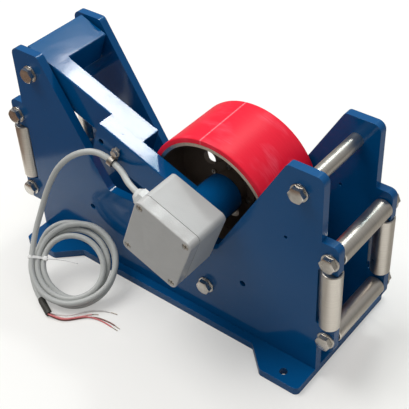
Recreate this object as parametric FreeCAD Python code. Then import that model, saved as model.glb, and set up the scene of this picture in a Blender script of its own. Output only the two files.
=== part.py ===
import FreeCAD, Part
import math
import os

V = FreeCAD.Vector

# Cable length counter. Millimetres, Z up. The origin is the middle of the base's underside,
# X runs along the cable being measured, and the encoder box hangs on the -Y side.

# Base plate
BASE_LEN = 412.0
BASE_WIDTH = 130.0
BASE_T = 10.0
BASE_HALF = BASE_LEN / 2
EAR_LEN = 49.0
EAR_SLOPE = 27.0
EAR_REACH = 25.0
EAR_HOLE_FROM_END = 26.0
EAR_HOLE_FROM_SIDE = 13.0
EAR_IN_X = BASE_HALF - EAR_LEN
EAR_ROOT_X = EAR_IN_X - EAR_SLOPE
EAR_OUT_Y = BASE_WIDTH / 2 + EAR_REACH
EAR_HOLE_X = BASE_HALF - EAR_HOLE_FROM_END
EAR_HOLE_Y = EAR_OUT_Y - EAR_HOLE_FROM_SIDE
EAR_HOLE_D = 9.0
EAR_CORNER_R = 6.0
EAR_ROOT_R = 4.0

# Rollers
ROLLER_D = 22.0
ROLLER_WALL = 2.0
END_PLAY = 0.3
BUSH_STAND = 0.7
BUSH_PLUG = 12.0
BUSH_COLLAR_T = 2.4
SUPPORT_D = 56.0
SUPPORT_AXLE_Z = 53.6
SUPPORT_WALL = 3.0
GUIDE_TUBE_D = 16.0
PIN_D = 6.0
PIN_SEAT = 7.4
PIN_COLLAR_T = 1.7
ROLLER_CHAMFER = 0.8

# Side plates. The end axles stand clear of the plates' ends, on tabs.
PLATE_T = 10.0
PLATE_GAP = 90.0
PLATE_IN = PLATE_GAP / 2
PLATE_OUT = PLATE_IN + PLATE_T
PLATE_TOP_Z = 270.0
HORN_W = 41.0
HORN_BOLT_IN = 26.0
HORN_IN_X = BASE_HALF - HORN_W
VALLEY_X = BASE_HALF * 0.3835
VALLEY_Z = 123.0
VALLEY_R = 8.0
HORN_OUT_R = 9.0
HORN_IN_R = 6.0
HORN_BOLT = (BASE_HALF - HORN_BOLT_IN, PLATE_TOP_Z - HORN_BOLT_IN)
END_AXLE_X = BASE_HALF + ROLLER_D / 2
END_AXLE_Z = (65.0, 175.0)
TAB_REACH = 9.0
TAB_BELOW = 17.5
TAB_FACE = 17.5
TAB_ABOVE = 20.0
TAB_BACK = 15.0
TAB_X = END_AXLE_X + TAB_REACH
TAB_LOW_Z = (END_AXLE_Z[0] - TAB_BELOW, END_AXLE_Z[0] + TAB_FACE)
TAB_HIGH_Z = (END_AXLE_Z[1] - TAB_BACK, END_AXLE_Z[1] + TAB_ABOVE)
TAB_R = 8.0
TAB_EDGE_R = 1.5
RELIEF_CLEAR = 2.5
RELIEF_R = 3.0
RELIEF_X = END_AXLE_X - ROLLER_D / 2 - RELIEF_CLEAR
SMALL_HOLE_D = 4.0
SMALL_HOLE = (HORN_IN_X, 180.0)
LIFT_HOLE_D = 7.5
LIFT_HOLE = (BASE_HALF * 0.5364, 84.0)

# Axles and their hardware (M10), screws in the base (M8)
BOLT_D = 10.0
BOLT_HOLE_D = 10.4
HEAD_AF = 16.0
HEAD_T = 6.4
WASHER_D = 20.0
WASHER_HOLE_D = 10.5
WASHER_T = 2.0
NUT_T = 8.4
BOLT_STAND = 2.6
BOLT_POINT = 1.0
RUN_CLEAR = 0.05
BASE_SCREW_X = (60.0, 150.0)
BASE_SCREW_D = 8.0
BASE_SCREW_CLEAR = 0.2
BASE_SCREW_HEAD_D = 15.6
BASE_SCREW_LEN = 22.0
BASE_SCREW_SINK = 0.6
BASE_SCREW_KEY_AF = 5.0
BASE_SCREW_KEY_DEEP = 2.8

# Measuring wheel. Its axis lies at WHEEL_ALONG and WHEEL_UP in arm coordinates.
WHEEL_ALONG = 2 * HORN_BOLT[0] * 0.7046
WHEEL_UP = 8.1
WHEEL_R = 79.58
NIP_GAP = 0.3

# Arm, drawn level with its pivot at the origin, then turned down until the wheel meets the roller
PIVOT = (-HORN_BOLT[0], HORN_BOLT[1])
SIDE_GAP = 2.5
CROSS_SIDE = 40.0
CROSS_LEN = PLATE_GAP - 2 * SIDE_GAP
TUBE_WALL = 3.0
TUBE_R = 1.5
TUBE_INNER_R = 0.5
CROSS_END_T = 5.0
PIVOT_BUSH_D = 14.0
PIVOT_BUSH_LEN = 9.0
PIVOT_FLANGE_D = 22.0
PIVOT_FLANGE_T = SIDE_GAP - END_PLAY
BAR_DEPTH = CROSS_SIDE
INNER_BAR_W = 25.0
OUTER_BAR_W = 20.0
INNER_BAR_Y = (-PLATE_IN + SIDE_GAP, -PLATE_IN + SIDE_GAP + INNER_BAR_W)
OUTER_BAR_Y = (INNER_BAR_Y[0] - OUTER_BAR_W, INNER_BAR_Y[0])
INNER_BAR_END = WHEEL_ALONG * 0.615
BAR_OVERLAP = 48.0
OUTER_BAR_START = INNER_BAR_END - BAR_OVERLAP
BAR_HOLE = (OUTER_BAR_START + 8.5, -3.0)
BAR_HOLE_D = 7.5
CAP_T = 3.0

# Wheel body and its bearings (6202)
TREAD_T = 5.5
TREAD_EDGE = 1.0
BARREL_T = 4.0
WHEEL_WIDTH = PLATE_GAP - 7.0
WEB_Y = (0.0, 6.0)
WEB_HOLE_D = 16.0
WEB_HOLE_PCD = 77.0
WEB_HOLES = 6
WEB_HOLE_TURN = 47.5
HUB_R = 20.0
HUB_FLANGE_R = 29.5
HUB_FLANGE_T = 3.0
HUB_Y = (-14.0, 14.0)
HUB_NOSE_R = 9.4
SHAFT_D = 15.0
SHAFT_SHORT = 0.4
SHAFT_COLLAR_D = 18.0
SHAFT_COLLAR_T = 2.4
SPIGOT_D = 8.0
HOUSING_D = 47.0
HOUSING_Y = (OUTER_BAR_Y[0], INNER_BAR_Y[1])
BEARING_D = 35.0
BEARING_W = 11.0
BEARING_RACE_R = 10.0
BEARING_IN = 2.0
BEARING_FRONT_Y = HOUSING_Y[0] + BEARING_IN
BEARING_BACK_Y = HOUSING_Y[1] - BEARING_IN
HOUSING_LAND_R = 15.5
KEY_W = 5.0
KEY_H = 5.0
KEY_LEN = 20.0
KEY_BACK = 3.0
KEY_SEAT_H = SHAFT_D / 2 - 3.0
WHEEL_WASHER_D = 28.0
WHEEL_WASHER_T = 3.0
WHEEL_SCREW_D = 6.0
WHEEL_SCREW_LEN = 16.0
WHEEL_SCREW_AF = 10.0
WHEEL_SCREW_HEAD_T = 4.0

# Encoder box, hung on the outer bar's face round the wheel's axis
BOX_W = 75.0
BOX_H = 80.0
BOX_BEHIND = 44.5
BOX_X0 = WHEEL_ALONG - BOX_BEHIND
BOX_TOP_Z = WHEEL_UP + 29.6
BOX_BACK_Y = OUTER_BAR_Y[0]
BOX_DEPTH = 41.5
BOX_SEAM_Y = BOX_BACK_Y - BOX_DEPTH
GASKET_T = 0.5
GASKET_IN = 0.5
LID_T = 15.0
LID_FACE_T = 4.0
BOX_WALL = 4.0
BOX_R = 7.0
BOX_INNER_R = 4.0
LID_EDGE_R = 1.2
LID_SCREW_IN = 6.8
LID_SCREW_D = 4.0
LID_SCREW_BITE = 11.0
LID_HEAD_D = 7.4
LID_HEAD_T = 3.0
LID_HEAD_SINK = 0.6
LID_HEAD_CLEAR = 0.4
POST_R = 5.0
SMALL_SCREW_D = 3.0
SMALL_SCREW_CLEAR = 0.2
SMALL_HEAD_D = 5.5
SMALL_HEAD_T = 3.0
SMALL_SCREW_LEN = 11.0
SMALL_SCREW_PCR = HOUSING_D / 2 - 3.0
SHAFT_WINDOW_R = 13.0
BOSS_R = 3.4
BRACKET_T = 3.0
BRACKET_Y = (BOX_BACK_Y - 26.5, BOX_BACK_Y - 26.5 + BRACKET_T)
BRACKET_R = HOUSING_D / 2 + 1.5
BRACKET_HOLE_R = 10.0
BRACKET_PCR = BRACKET_R - 4.0
ENCODER_R = 17.8
ENCODER_LEN = 19.0
ENCODER_FLANGE_R = BRACKET_R - 0.4
ENCODER_FLANGE_T = 3.0
ENCODER_SHAFT_D = 6.0
ENCODER_BORE_LEN = 10.0
COUPLING_D = 16.0
COUPLING_Y = (BOX_BACK_Y - 22.5, BOX_BACK_Y - 4.5)
COUPLING_MID_Y = BOX_BACK_Y - 14.5
TERMINAL_LEN = 48.0
TERMINAL_DEEP = 11.5
TERMINAL_H = 12.0

# Cable, gland and clip
CABLE_D = 7.0
GLAND_Y = BOX_BACK_Y - 28.5
GLAND_UP = WHEEL_UP - 1.1
GLAND_AF = 19.0
GLAND_T = 5.0
GLAND_THREAD_D = 16.0
DOME_LEN = 12.0
CLIP_ON_BAR = 31.5
CLIP_X = OUTER_BAR_START + CLIP_ON_BAR
CLIP_UP = -9.5
CLIP_W = 6.0
CLIP_LIP = 0.5
CLIP_LINER_R = 5.0
CLIP_BAND_T = 1.0
CLIP_SCREW_UP = 2.5
CLIP_SCREW_D = 5.0
CLIP_SCREW_AF = 8.0
CLIP_SCREW_HEAD_T = 3.5
CLIP_SCREW_FLANGE_D = 11.0
CLIP_SCREW_FLANGE_T = 1.2
CLIP_Y = OUTER_BAR_Y[0] - CLIP_LINER_R - CLIP_BAND_T
COIL_STAND = 52.6
COIL_CENTRE = (-101.0, -PLATE_OUT - COIL_STAND, 39.3)
COIL_NORMAL = (0.321, -0.498, 0.806)
COIL_OUT_R = 55.5
COIL_IN_R = 34.5
COIL_HALF_H = 7.6
COIL_EDGE_R = 3.4
SLEEVE_D = 8.6
SLEEVE_LEN = 27.8
WIRE_D = 1.8
TIE_T = 1.2
TIE_W = 4.2
TIE_AT_DEG = 24.0


def cyl(radius, start, end):
    axis = V(*end) - V(*start)
    return Part.makeCylinder(radius, axis.Length, V(*start), axis)


def ring(r_out, r_in, start, end):
    return cyl(r_out, start, end).cut(cyl(r_in, start, end))


def block(x0, x1, y0, y1, z0, z1):
    return Part.makeBox(x1 - x0, y1 - y0, z1 - z0, V(x0, y0, z0))


def rounded_wire(points, lift):
    """Closed outline of (a, b, radius) corners, each point mapped into space by lift(a, b)."""
    edges = []
    count = len(points)
    joints = []
    for i in range(count):
        a0, b0, _ = points[i - 1]
        a1, b1, r = points[i]
        a2, b2, _ = points[(i + 1) % count]
        here = V(a1, b1, 0)
        back = V(a0, b0, 0) - here
        ahead = V(a2, b2, 0) - here
        back.normalize()
        ahead.normalize()
        if r <= 0:
            joints.append((here, None, here))
            continue
        half = back.getAngle(ahead) / 2
        cut = r / math.tan(half)
        bisector = back + ahead
        bisector.normalize()
        centre = here + bisector * (r / math.sin(half))
        joints.append((here + back * cut, centre - bisector * r, here + ahead * cut))
    for i in range(count):
        start, middle, end = joints[i]
        if middle is not None:
            edges.append(Part.Arc(lift(start), lift(middle), lift(end)).toShape())
        following = joints[(i + 1) % count][0]
        if (following - end).Length > 1e-6:
            edges.append(Part.LineSegment(lift(end), lift(following)).toShape())
    return Part.Wire(edges)


def plate_xz(points, y0, y1):
    wire = rounded_wire(points, lambda p: V(p.x, y0, p.y))
    return Part.Face(wire).extrude(V(0, y1 - y0, 0))


def plate_xy(points, z0, z1):
    wire = rounded_wire(points, lambda p: V(p.x, p.y, z0))
    return Part.Face(wire).extrude(V(0, 0, z1 - z0))


def box_outline(x0, x1, z0, z1, r):
    return [(x0, z0, r), (x1, z0, r), (x1, z1, r), (x0, z1, r)]


def hex_prism(across_flats, centre, axis, length, turn=0.0):
    """Plain hexagonal prism that starts at centre and runs along axis."""
    radius = across_flats / 2 / math.cos(math.pi / 6)
    corners = []
    for i in range(7):
        angle = math.radians(60 * i + turn)
        corners.append(V(radius * math.cos(angle), radius * math.sin(angle), 0))
    prism = Part.Face(Part.makePolygon(corners)).extrude(V(0, 0, length))
    prism.Placement = FreeCAD.Placement(V(*centre), FreeCAD.Rotation(V(0, 0, 1), V(*axis)))
    return prism


def hex_head(across_flats, centre, axis, length, turn=0.0):
    """Hexagonal head or nut whose far face has its corners turned off at 30 degrees."""
    radius = across_flats / 2 / math.cos(math.pi / 6)
    drop = (radius + 1.0 - across_flats * 0.47) * math.tan(math.radians(30))
    limit = Part.makeCylinder(radius + 1.0, length - drop)
    limit = limit.fuse(Part.makeCone(radius + 1.0, across_flats * 0.47, drop, V(0, 0, length - drop)))
    prism = hex_prism(across_flats, (0, 0, 0), (0, 0, 1), length, turn).common(limit)
    prism.Placement = FreeCAD.Placement(V(*centre), FreeCAD.Rotation(V(0, 0, 1), V(*axis)))
    return prism


def outer_bar_end():
    """The bar stops just short of the bearing housing's far side."""
    return WHEEL_ALONG + HOUSING_D / 2 - 9.6


def wheel_rest_z():
    """Height of the wheel's axis when the tread comes down on the support roller."""
    return SUPPORT_AXLE_Z + SUPPORT_D / 2 + NIP_GAP + WHEEL_R


def rest_angle():
    """Degrees below level at which the wheel comes down on the support roller."""
    drop = PIVOT[1] - wheel_rest_z()
    reach = math.hypot(WHEEL_ALONG, WHEEL_UP)
    return math.degrees(math.asin(drop / reach) + math.atan2(WHEEL_UP, WHEEL_ALONG))


ARM_ANGLE = rest_angle()


def on_arm(shape):
    """Turns a shape drawn in arm coordinates down to its resting place."""
    placed = shape.copy()
    placed.rotate(V(0, 0, 0), V(0, 1, 0), ARM_ANGLE)
    placed.translate(V(PIVOT[0], 0, PIVOT[1]))
    return placed


def arm_point(x, y, z):
    c = math.cos(math.radians(ARM_ANGLE))
    s = math.sin(math.radians(ARM_ANGLE))
    return V(PIVOT[0] + x * c + z * s, y, PIVOT[1] - x * s + z * c)


def on_axis(y):
    """A point of the wheel's axis, in arm coordinates."""
    return (WHEEL_ALONG, y, WHEEL_UP)


def wheel_axis():
    """Where the wheel's axis rests in the frame."""
    spot = arm_point(WHEEL_ALONG, 0, WHEEL_UP)
    return spot.x, spot.z


def support_axle():
    """The support roller lies straight under the wheel."""
    return wheel_axis()[0], SUPPORT_AXLE_Z


def axle_positions():
    spots = [(-HORN_BOLT[0], HORN_BOLT[1]), HORN_BOLT, support_axle()]
    for x in (-END_AXLE_X, END_AXLE_X):
        for z in END_AXLE_Z:
            spots.append((x, z))
    return spots


def base_screw_spots():
    spots = []
    for x in BASE_SCREW_X:
        for side in (-1, 1):
            for y in (-1, 1):
                spots.append((x * side, y * (PLATE_IN + PLATE_T / 2)))
    return spots


def make_base():
    half = BASE_LEN / 2
    strip = BASE_WIDTH / 2
    r = EAR_CORNER_R
    outline = [(-EAR_ROOT_X, -strip, EAR_ROOT_R), (EAR_ROOT_X, -strip, EAR_ROOT_R), (EAR_IN_X, -EAR_OUT_Y, r),
               (half, -EAR_OUT_Y, r), (half, EAR_OUT_Y, r), (EAR_IN_X, EAR_OUT_Y, r),
               (EAR_ROOT_X, strip, EAR_ROOT_R), (-EAR_ROOT_X, strip, EAR_ROOT_R), (-EAR_IN_X, EAR_OUT_Y, r),
               (-half, EAR_OUT_Y, r), (-half, -EAR_OUT_Y, r), (-EAR_IN_X, -EAR_OUT_Y, r)]
    base = plate_xy(outline, 0.0, BASE_T)
    cuts = []
    for x in (-EAR_HOLE_X, EAR_HOLE_X):
        for y in (-EAR_HOLE_Y, EAR_HOLE_Y):
            cuts.append(cyl(EAR_HOLE_D / 2, (x, y, -1), (x, y, BASE_T + 1)))
    for x, y in base_screw_spots():
        cuts.append(cyl(BASE_SCREW_D / 2 + BASE_SCREW_CLEAR, (x, y, -1), (x, y, BASE_T + 1)))
        top = BASE_SCREW_SINK + (BASE_SCREW_HEAD_D - BASE_SCREW_D) / 2
        sink = Part.makeCone(BASE_SCREW_HEAD_D / 2, BASE_SCREW_D / 2,
                             top - BASE_SCREW_SINK, V(x, y, BASE_SCREW_SINK))
        cuts.append(sink)
        cuts.append(cyl(BASE_SCREW_HEAD_D / 2, (x, y, -1), (x, y, BASE_SCREW_SINK)))
    for tool in cuts:
        base = base.cut(tool)
    return base


def plate_outline():
    lo0, lo1 = TAB_LOW_Z
    hi0, hi1 = TAB_HIGH_Z
    right = [(BASE_HALF, BASE_T, 0), (BASE_HALF, lo0, 0), (TAB_X, lo0, TAB_R),
             (TAB_X, lo1, TAB_EDGE_R), (RELIEF_X, lo1, RELIEF_R),
             (RELIEF_X, hi0, RELIEF_R), (TAB_X, hi0, TAB_EDGE_R),
             (TAB_X, hi1, TAB_R), (BASE_HALF, hi1, 0), (BASE_HALF, PLATE_TOP_Z, HORN_OUT_R),
             (HORN_IN_X, PLATE_TOP_Z, HORN_IN_R), (VALLEY_X, VALLEY_Z, VALLEY_R)]
    left = [(-x, z, r) for x, z, r in reversed(right)]
    return right + left


def make_side_plate(side):
    y0, y1 = sorted((side * PLATE_IN, side * PLATE_OUT))
    plate = plate_xz(plate_outline(), y0, y1)
    middle = (y0 + y1) / 2
    cuts = []
    for x, z in axle_positions():
        cuts.append(cyl(BOLT_HOLE_D / 2, (x, y0 - 1, z), (x, y1 + 1, z)))
    for x in (-LIFT_HOLE[0], LIFT_HOLE[0]):
        cuts.append(cyl(LIFT_HOLE_D / 2, (x, y0 - 1, LIFT_HOLE[1]), (x, y1 + 1, LIFT_HOLE[1])))
    x, z = SMALL_HOLE
    cuts.append(cyl(SMALL_HOLE_D / 2, (x, y0 - 1, z), (x, y1 + 1, z)))
    for x in (-END_AXLE_X, END_AXLE_X):
        cuts.append(cyl(PIN_D / 2, (x, middle, END_AXLE_Z[0]), (x, middle, TAB_LOW_Z[1] + 1)))
        cuts.append(cyl(PIN_D / 2, (x, middle, TAB_HIGH_Z[0] - 1),
                        (x, middle, TAB_HIGH_Z[0] + PIN_SEAT + 0.3)))
    for x, y in base_screw_spots():
        if y * side > 0:
            cuts.append(cyl(BASE_SCREW_D / 2, (x, y, BASE_T - 1), (x, y, BASE_SCREW_LEN + 3)))
    for tool in cuts:
        plate = plate.cut(tool)
    return plate


def make_base_screws():
    screws = []
    rise = (BASE_SCREW_HEAD_D - BASE_SCREW_D) / 2
    for x, y in base_screw_spots():
        z = BASE_SCREW_SINK
        screw = Part.makeCone(BASE_SCREW_HEAD_D / 2, BASE_SCREW_D / 2, rise, V(x, y, z))
        screw = screw.fuse(cyl(BASE_SCREW_D / 2, (x, y, z + rise), (x, y, z + BASE_SCREW_LEN)))
        screw = screw.cut(hex_prism(BASE_SCREW_KEY_AF, (x, y, z - 0.01), (0, 0, 1), BASE_SCREW_KEY_DEEP))
        screws.append(screw.removeSplitter())
    return screws


def make_axle(x, z):
    head_y = -PLATE_OUT - WASHER_T
    tip_y = PLATE_OUT + WASHER_T + NUT_T + BOLT_STAND
    bolt = cyl(BOLT_D / 2, (x, head_y, z), (x, tip_y - BOLT_POINT, z))
    tip = Part.makeCone(BOLT_D / 2, BOLT_D / 2 - BOLT_POINT, BOLT_POINT,
                        V(x, tip_y - BOLT_POINT, z), V(0, 1, 0))
    head = hex_head(HEAD_AF, (x, head_y, z), (0, -1, 0), HEAD_T, 30.0)
    return bolt.fuse(tip).fuse(head).removeSplitter()


def make_washers(x, z):
    hole = WASHER_HOLE_D / 2
    front = ring(WASHER_D / 2, hole, (x, -PLATE_OUT - WASHER_T, z), (x, -PLATE_OUT, z))
    back = ring(WASHER_D / 2, hole, (x, PLATE_OUT, z), (x, PLATE_OUT + WASHER_T, z))
    return [front, back]


def make_nut(x, z):
    start = PLATE_OUT + WASHER_T
    nut = hex_head(HEAD_AF, (x, start, z), (0, 1, 0), NUT_T, 30.0)
    return nut.cut(cyl(BOLT_D / 2, (x, start - 1, z), (x, start + NUT_T + 1, z)))


def make_guide_tube():
    x, z = HORN_BOLT
    return ring(GUIDE_TUBE_D / 2, BOLT_HOLE_D / 2, (x, -PLATE_IN, z), (x, PLATE_IN, z))


def make_side_pins():
    pins = []
    low = END_AXLE_Z[0] + BOLT_D / 2 + 0.05
    high = TAB_HIGH_Z[0] + PIN_SEAT
    middle = PLATE_IN + PLATE_T / 2
    for x in (-END_AXLE_X, END_AXLE_X):
        for y in (-middle, middle):
            pins.append(cyl(PIN_D / 2, (x, y, low), (x, y, high)))
    return pins


def make_tube_roller(x, z, diameter, wall):
    """Cross roller on an axle bolt: a tube with a plastic bush pressed into each end."""
    half = PLATE_IN - END_PLAY - BUSH_STAND
    r_out = diameter / 2
    r_in = r_out - wall
    tube = cyl(r_out, (x, -half, z), (x, half, z))
    tube = tube.makeChamfer(ROLLER_CHAMFER, [e for e in tube.Edges if e.Closed and
                                             abs(e.Curve.Radius - r_out) < 0.01])
    tube = tube.cut(cyl(r_in, (x, -half - 1, z), (x, half + 1, z)))
    bore = BOLT_D / 2 + RUN_CLEAR
    bushes = []
    for side in (-1, 1):
        face = side * (PLATE_IN - END_PLAY)
        shoulder = side * half
        inner = side * (half - BUSH_PLUG)
        bush = cyl(r_in, (x, shoulder, z), (x, inner, z))
        bush = bush.fuse(cyl(bore + BUSH_COLLAR_T, (x, face, z), (x, shoulder, z)))
        bush = bush.cut(cyl(bore, (x, face + side, z), (x, inner - side, z)))
        bushes.append(bush.removeSplitter())
    return tube, bushes


def make_upright_roller(x, side):
    """Solid upright roller between the two tabs of a side plate, turning on its pin."""
    y = side * (PLATE_IN + PLATE_T / 2)
    low = TAB_LOW_Z[1] + END_PLAY
    high = TAB_HIGH_Z[0] - END_PLAY
    body = cyl(ROLLER_D / 2, (x, y, low + BUSH_STAND), (x, y, high - BUSH_STAND))
    body = body.makeChamfer(ROLLER_CHAMFER, [e for e in body.Edges if e.Closed])
    body = body.fuse(cyl(PIN_D / 2 + PIN_COLLAR_T, (x, y, low), (x, y, high)))
    body = body.cut(cyl(PIN_D / 2 + RUN_CLEAR, (x, y, low - 1), (x, y, high + 1)))
    return body.removeSplitter()


def square_tube_y(side, wall, y0, y1):
    h = side / 2
    outer = plate_xz(box_outline(-h, h, -h, h, TUBE_R), y0, y1)
    inner = plate_xz(box_outline(-h + wall, h - wall, -h + wall, h - wall, TUBE_INNER_R), y0 - 1, y1 + 1)
    return outer.cut(inner)


def bar_tube(x0, x1, y0, y1):
    h = BAR_DEPTH / 2
    outer_points = box_outline(y0, y1, -h, h, TUBE_R)
    inner_points = box_outline(y0 + TUBE_WALL, y1 - TUBE_WALL, -h + TUBE_WALL, h - TUBE_WALL, TUBE_INNER_R)
    outer = Part.Face(rounded_wire(outer_points, lambda p: V(x0, p.x, p.y)))
    inner = Part.Face(rounded_wire(inner_points, lambda p: V(x0, p.x, p.y)))
    return outer.cut(inner).extrude(V(x1 - x0, 0, 0))


def bar_cap(x0, x1, y0, y1):
    h = BAR_DEPTH / 2
    face = Part.Face(rounded_wire(box_outline(y0, y1, -h, h, TUBE_R), lambda p: V(x0, p.x, p.y)))
    return face.extrude(V(x1 - x0, 0, 0))


def make_crosspiece():
    half = CROSS_LEN / 2
    return square_tube_y(CROSS_SIDE, TUBE_WALL, -half, half)


def make_cross_ends():
    ends = []
    h = CROSS_SIDE / 2 - TUBE_WALL
    for side in (-1, 1):
        y0, y1 = sorted((side * CROSS_LEN / 2, side * (CROSS_LEN / 2 - CROSS_END_T)))
        end = plate_xz(box_outline(-h, h, -h, h, TUBE_INNER_R), y0, y1)
        ends.append(end.cut(cyl(PIVOT_BUSH_D / 2, (0, y0 - 1, 0), (0, y1 + 1, 0))))
    return ends


def make_pivot_bushes():
    bushes = []
    bore = BOLT_D / 2 + RUN_CLEAR
    for side in (-1, 1):
        face = side * CROSS_LEN / 2
        bush = cyl(PIVOT_BUSH_D / 2, (0, face, 0), (0, side * (CROSS_LEN / 2 - PIVOT_BUSH_LEN), 0))
        bush = bush.fuse(cyl(PIVOT_FLANGE_D / 2, (0, face, 0), (0, face + side * PIVOT_FLANGE_T, 0)))
        bush = bush.cut(cyl(bore, (0, -PLATE_IN, 0), (0, PLATE_IN, 0)))
        bushes.append(bush.removeSplitter())
    return bushes


def make_inner_bar():
    return bar_tube(CROSS_SIDE / 2, INNER_BAR_END - CAP_T, *INNER_BAR_Y)


def make_outer_bar():
    bar = bar_tube(OUTER_BAR_START + CAP_T, outer_bar_end() - CAP_T, *OUTER_BAR_Y)
    bar = bar.cut(cyl(HOUSING_D / 2, on_axis(OUTER_BAR_Y[0] - 1), on_axis(OUTER_BAR_Y[1] + 1)))
    x, z = BAR_HOLE
    bar = bar.cut(cyl(BAR_HOLE_D / 2, (x, OUTER_BAR_Y[0] - 1, z), (x, OUTER_BAR_Y[0] + TUBE_WALL + 1, z)))
    bar = bar.cut(cyl(CLIP_SCREW_D / 2, (CLIP_X, OUTER_BAR_Y[0] - 1, CLIP_SCREW_UP),
                      (CLIP_X, OUTER_BAR_Y[0] + TUBE_WALL + 1, CLIP_SCREW_UP)))
    solids = sorted(bar.Solids, key=lambda s: s.Volume)
    return solids[-1]


def make_arm_caps():
    end = outer_bar_end()
    inner = bar_cap(INNER_BAR_END - CAP_T, INNER_BAR_END, *INNER_BAR_Y)
    start = bar_cap(OUTER_BAR_START, OUTER_BAR_START + CAP_T, *OUTER_BAR_Y)
    tip = bar_cap(end - CAP_T, end, *OUTER_BAR_Y)
    tip = tip.cut(cyl(HOUSING_D / 2, on_axis(OUTER_BAR_Y[0] - 1), on_axis(OUTER_BAR_Y[1] + 1)))
    tip = sorted(tip.Solids, key=lambda s: s.CenterOfMass.z)[0]
    return [inner, start, tip]


def small_screw_spots():
    spots = []
    for angle in (0, 90, 180, 270):
        a = math.radians(angle)
        spots.append((WHEEL_ALONG + SMALL_SCREW_PCR * math.cos(a), WHEEL_UP + SMALL_SCREW_PCR * math.sin(a)))
    return spots


def bracket_spots():
    spots = []
    for angle in (45, 135, 225, 315):
        a = math.radians(angle)
        spots.append((WHEEL_ALONG + BRACKET_PCR * math.cos(a), WHEEL_UP + BRACKET_PCR * math.sin(a)))
    return spots


def make_housing():
    y0, y1 = HOUSING_Y
    body = cyl(HOUSING_D / 2, on_axis(y0), on_axis(y1))
    body = body.cut(cyl(HOUSING_LAND_R, on_axis(y0 - 1), on_axis(y1 + 1)))
    body = body.cut(cyl(BEARING_D / 2, on_axis(y0 - 1), on_axis(BEARING_FRONT_Y + BEARING_W)))
    body = body.cut(cyl(BEARING_D / 2, on_axis(BEARING_BACK_Y - BEARING_W), on_axis(y1 + 1)))
    depth = BOX_BACK_Y - BOX_WALL + SMALL_SCREW_LEN + 0.5
    for x, z in small_screw_spots():
        body = body.cut(cyl(SMALL_SCREW_D / 2, (x, y0 - 1, z), (x, depth, z)))
    return body


def bearing_spans():
    front = (BEARING_FRONT_Y, BEARING_FRONT_Y + BEARING_W)
    back = (BEARING_BACK_Y - BEARING_W, BEARING_BACK_Y)
    return [front, back]


def make_outer_rings():
    rings = []
    for y0, y1 in bearing_spans():
        rings.append(ring(BEARING_D / 2, BEARING_RACE_R + RUN_CLEAR, on_axis(y0), on_axis(y1)))
    return rings


def make_inner_rings():
    rings = []
    for y0, y1 in bearing_spans():
        rings.append(ring(BEARING_RACE_R, SHAFT_D / 2, on_axis(y0), on_axis(y1)))
    return rings


def make_bearing_spacer():
    y0 = BEARING_FRONT_Y + BEARING_W
    y1 = BEARING_BACK_Y - BEARING_W
    return ring(HUB_NOSE_R, SHAFT_D / 2, on_axis(y0), on_axis(y1))


def shaft_end_y():
    return HUB_Y[1] - SHAFT_SHORT


def make_shaft():
    collar_y = BEARING_FRONT_Y - SHAFT_COLLAR_T
    spigot_y = COUPLING_MID_Y
    shaft = cyl(SHAFT_D / 2, on_axis(BEARING_FRONT_Y), on_axis(shaft_end_y()))
    shaft = shaft.fuse(cyl(SHAFT_COLLAR_D / 2, on_axis(collar_y), on_axis(BEARING_FRONT_Y)))
    shaft = shaft.fuse(cyl(SPIGOT_D / 2, on_axis(spigot_y), on_axis(collar_y)))
    y1 = HUB_Y[1] - KEY_BACK
    shaft = shaft.cut(block(WHEEL_ALONG - KEY_W / 2, WHEEL_ALONG + KEY_W / 2, y1 - KEY_LEN, y1,
                            WHEEL_UP + KEY_SEAT_H, WHEEL_UP + SHAFT_D))
    end = shaft_end_y()
    shaft = shaft.cut(cyl(WHEEL_SCREW_D / 2, on_axis(end - WHEEL_SCREW_LEN - 2), on_axis(end + 1)))
    return shaft.removeSplitter()


def make_key():
    y1 = HUB_Y[1] - KEY_BACK
    z0 = WHEEL_UP + KEY_SEAT_H
    return block(WHEEL_ALONG - KEY_W / 2, WHEEL_ALONG + KEY_W / 2, y1 - KEY_LEN, y1, z0, z0 + KEY_H)


def make_wheel():
    half = WHEEL_WIDTH / 2
    r_out = WHEEL_R - TREAD_T
    r_in = r_out - BARREL_T
    barrel = ring(r_out, r_in, on_axis(-half), on_axis(half))
    web = cyl(r_in + 0.5, on_axis(WEB_Y[0]), on_axis(WEB_Y[1]))
    flange = cyl(HUB_FLANGE_R, on_axis(WEB_Y[0] - HUB_FLANGE_T),
                 on_axis(WEB_Y[1] + HUB_FLANGE_T))
    hub = cyl(HUB_R, on_axis(HUB_Y[0]), on_axis(HUB_Y[1]))
    nose = cyl(HUB_NOSE_R, on_axis(BEARING_BACK_Y), on_axis(HUB_Y[0]))
    wheel = barrel.fuse(web).fuse(flange).fuse(hub).fuse(nose)
    for i in range(WEB_HOLES):
        a = math.radians(360.0 * i / WEB_HOLES + WEB_HOLE_TURN)
        x = WHEEL_ALONG + WEB_HOLE_PCD / 2 * math.cos(a)
        z = WHEEL_UP + WEB_HOLE_PCD / 2 * math.sin(a)
        wheel = wheel.cut(cyl(WEB_HOLE_D / 2, (x, WEB_Y[0] - 1, z), (x, WEB_Y[1] + 1, z)))
    wheel = wheel.cut(cyl(SHAFT_D / 2, on_axis(BEARING_BACK_Y - 1),
                          on_axis(HUB_Y[1] + 1)))
    slot = block(WHEEL_ALONG - KEY_W / 2, WHEEL_ALONG + KEY_W / 2, BEARING_BACK_Y - 1, HUB_Y[1] + 1,
                 WHEEL_UP, WHEEL_UP + KEY_SEAT_H + KEY_H)
    wheel = wheel.cut(slot)
    return wheel.removeSplitter()


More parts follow.
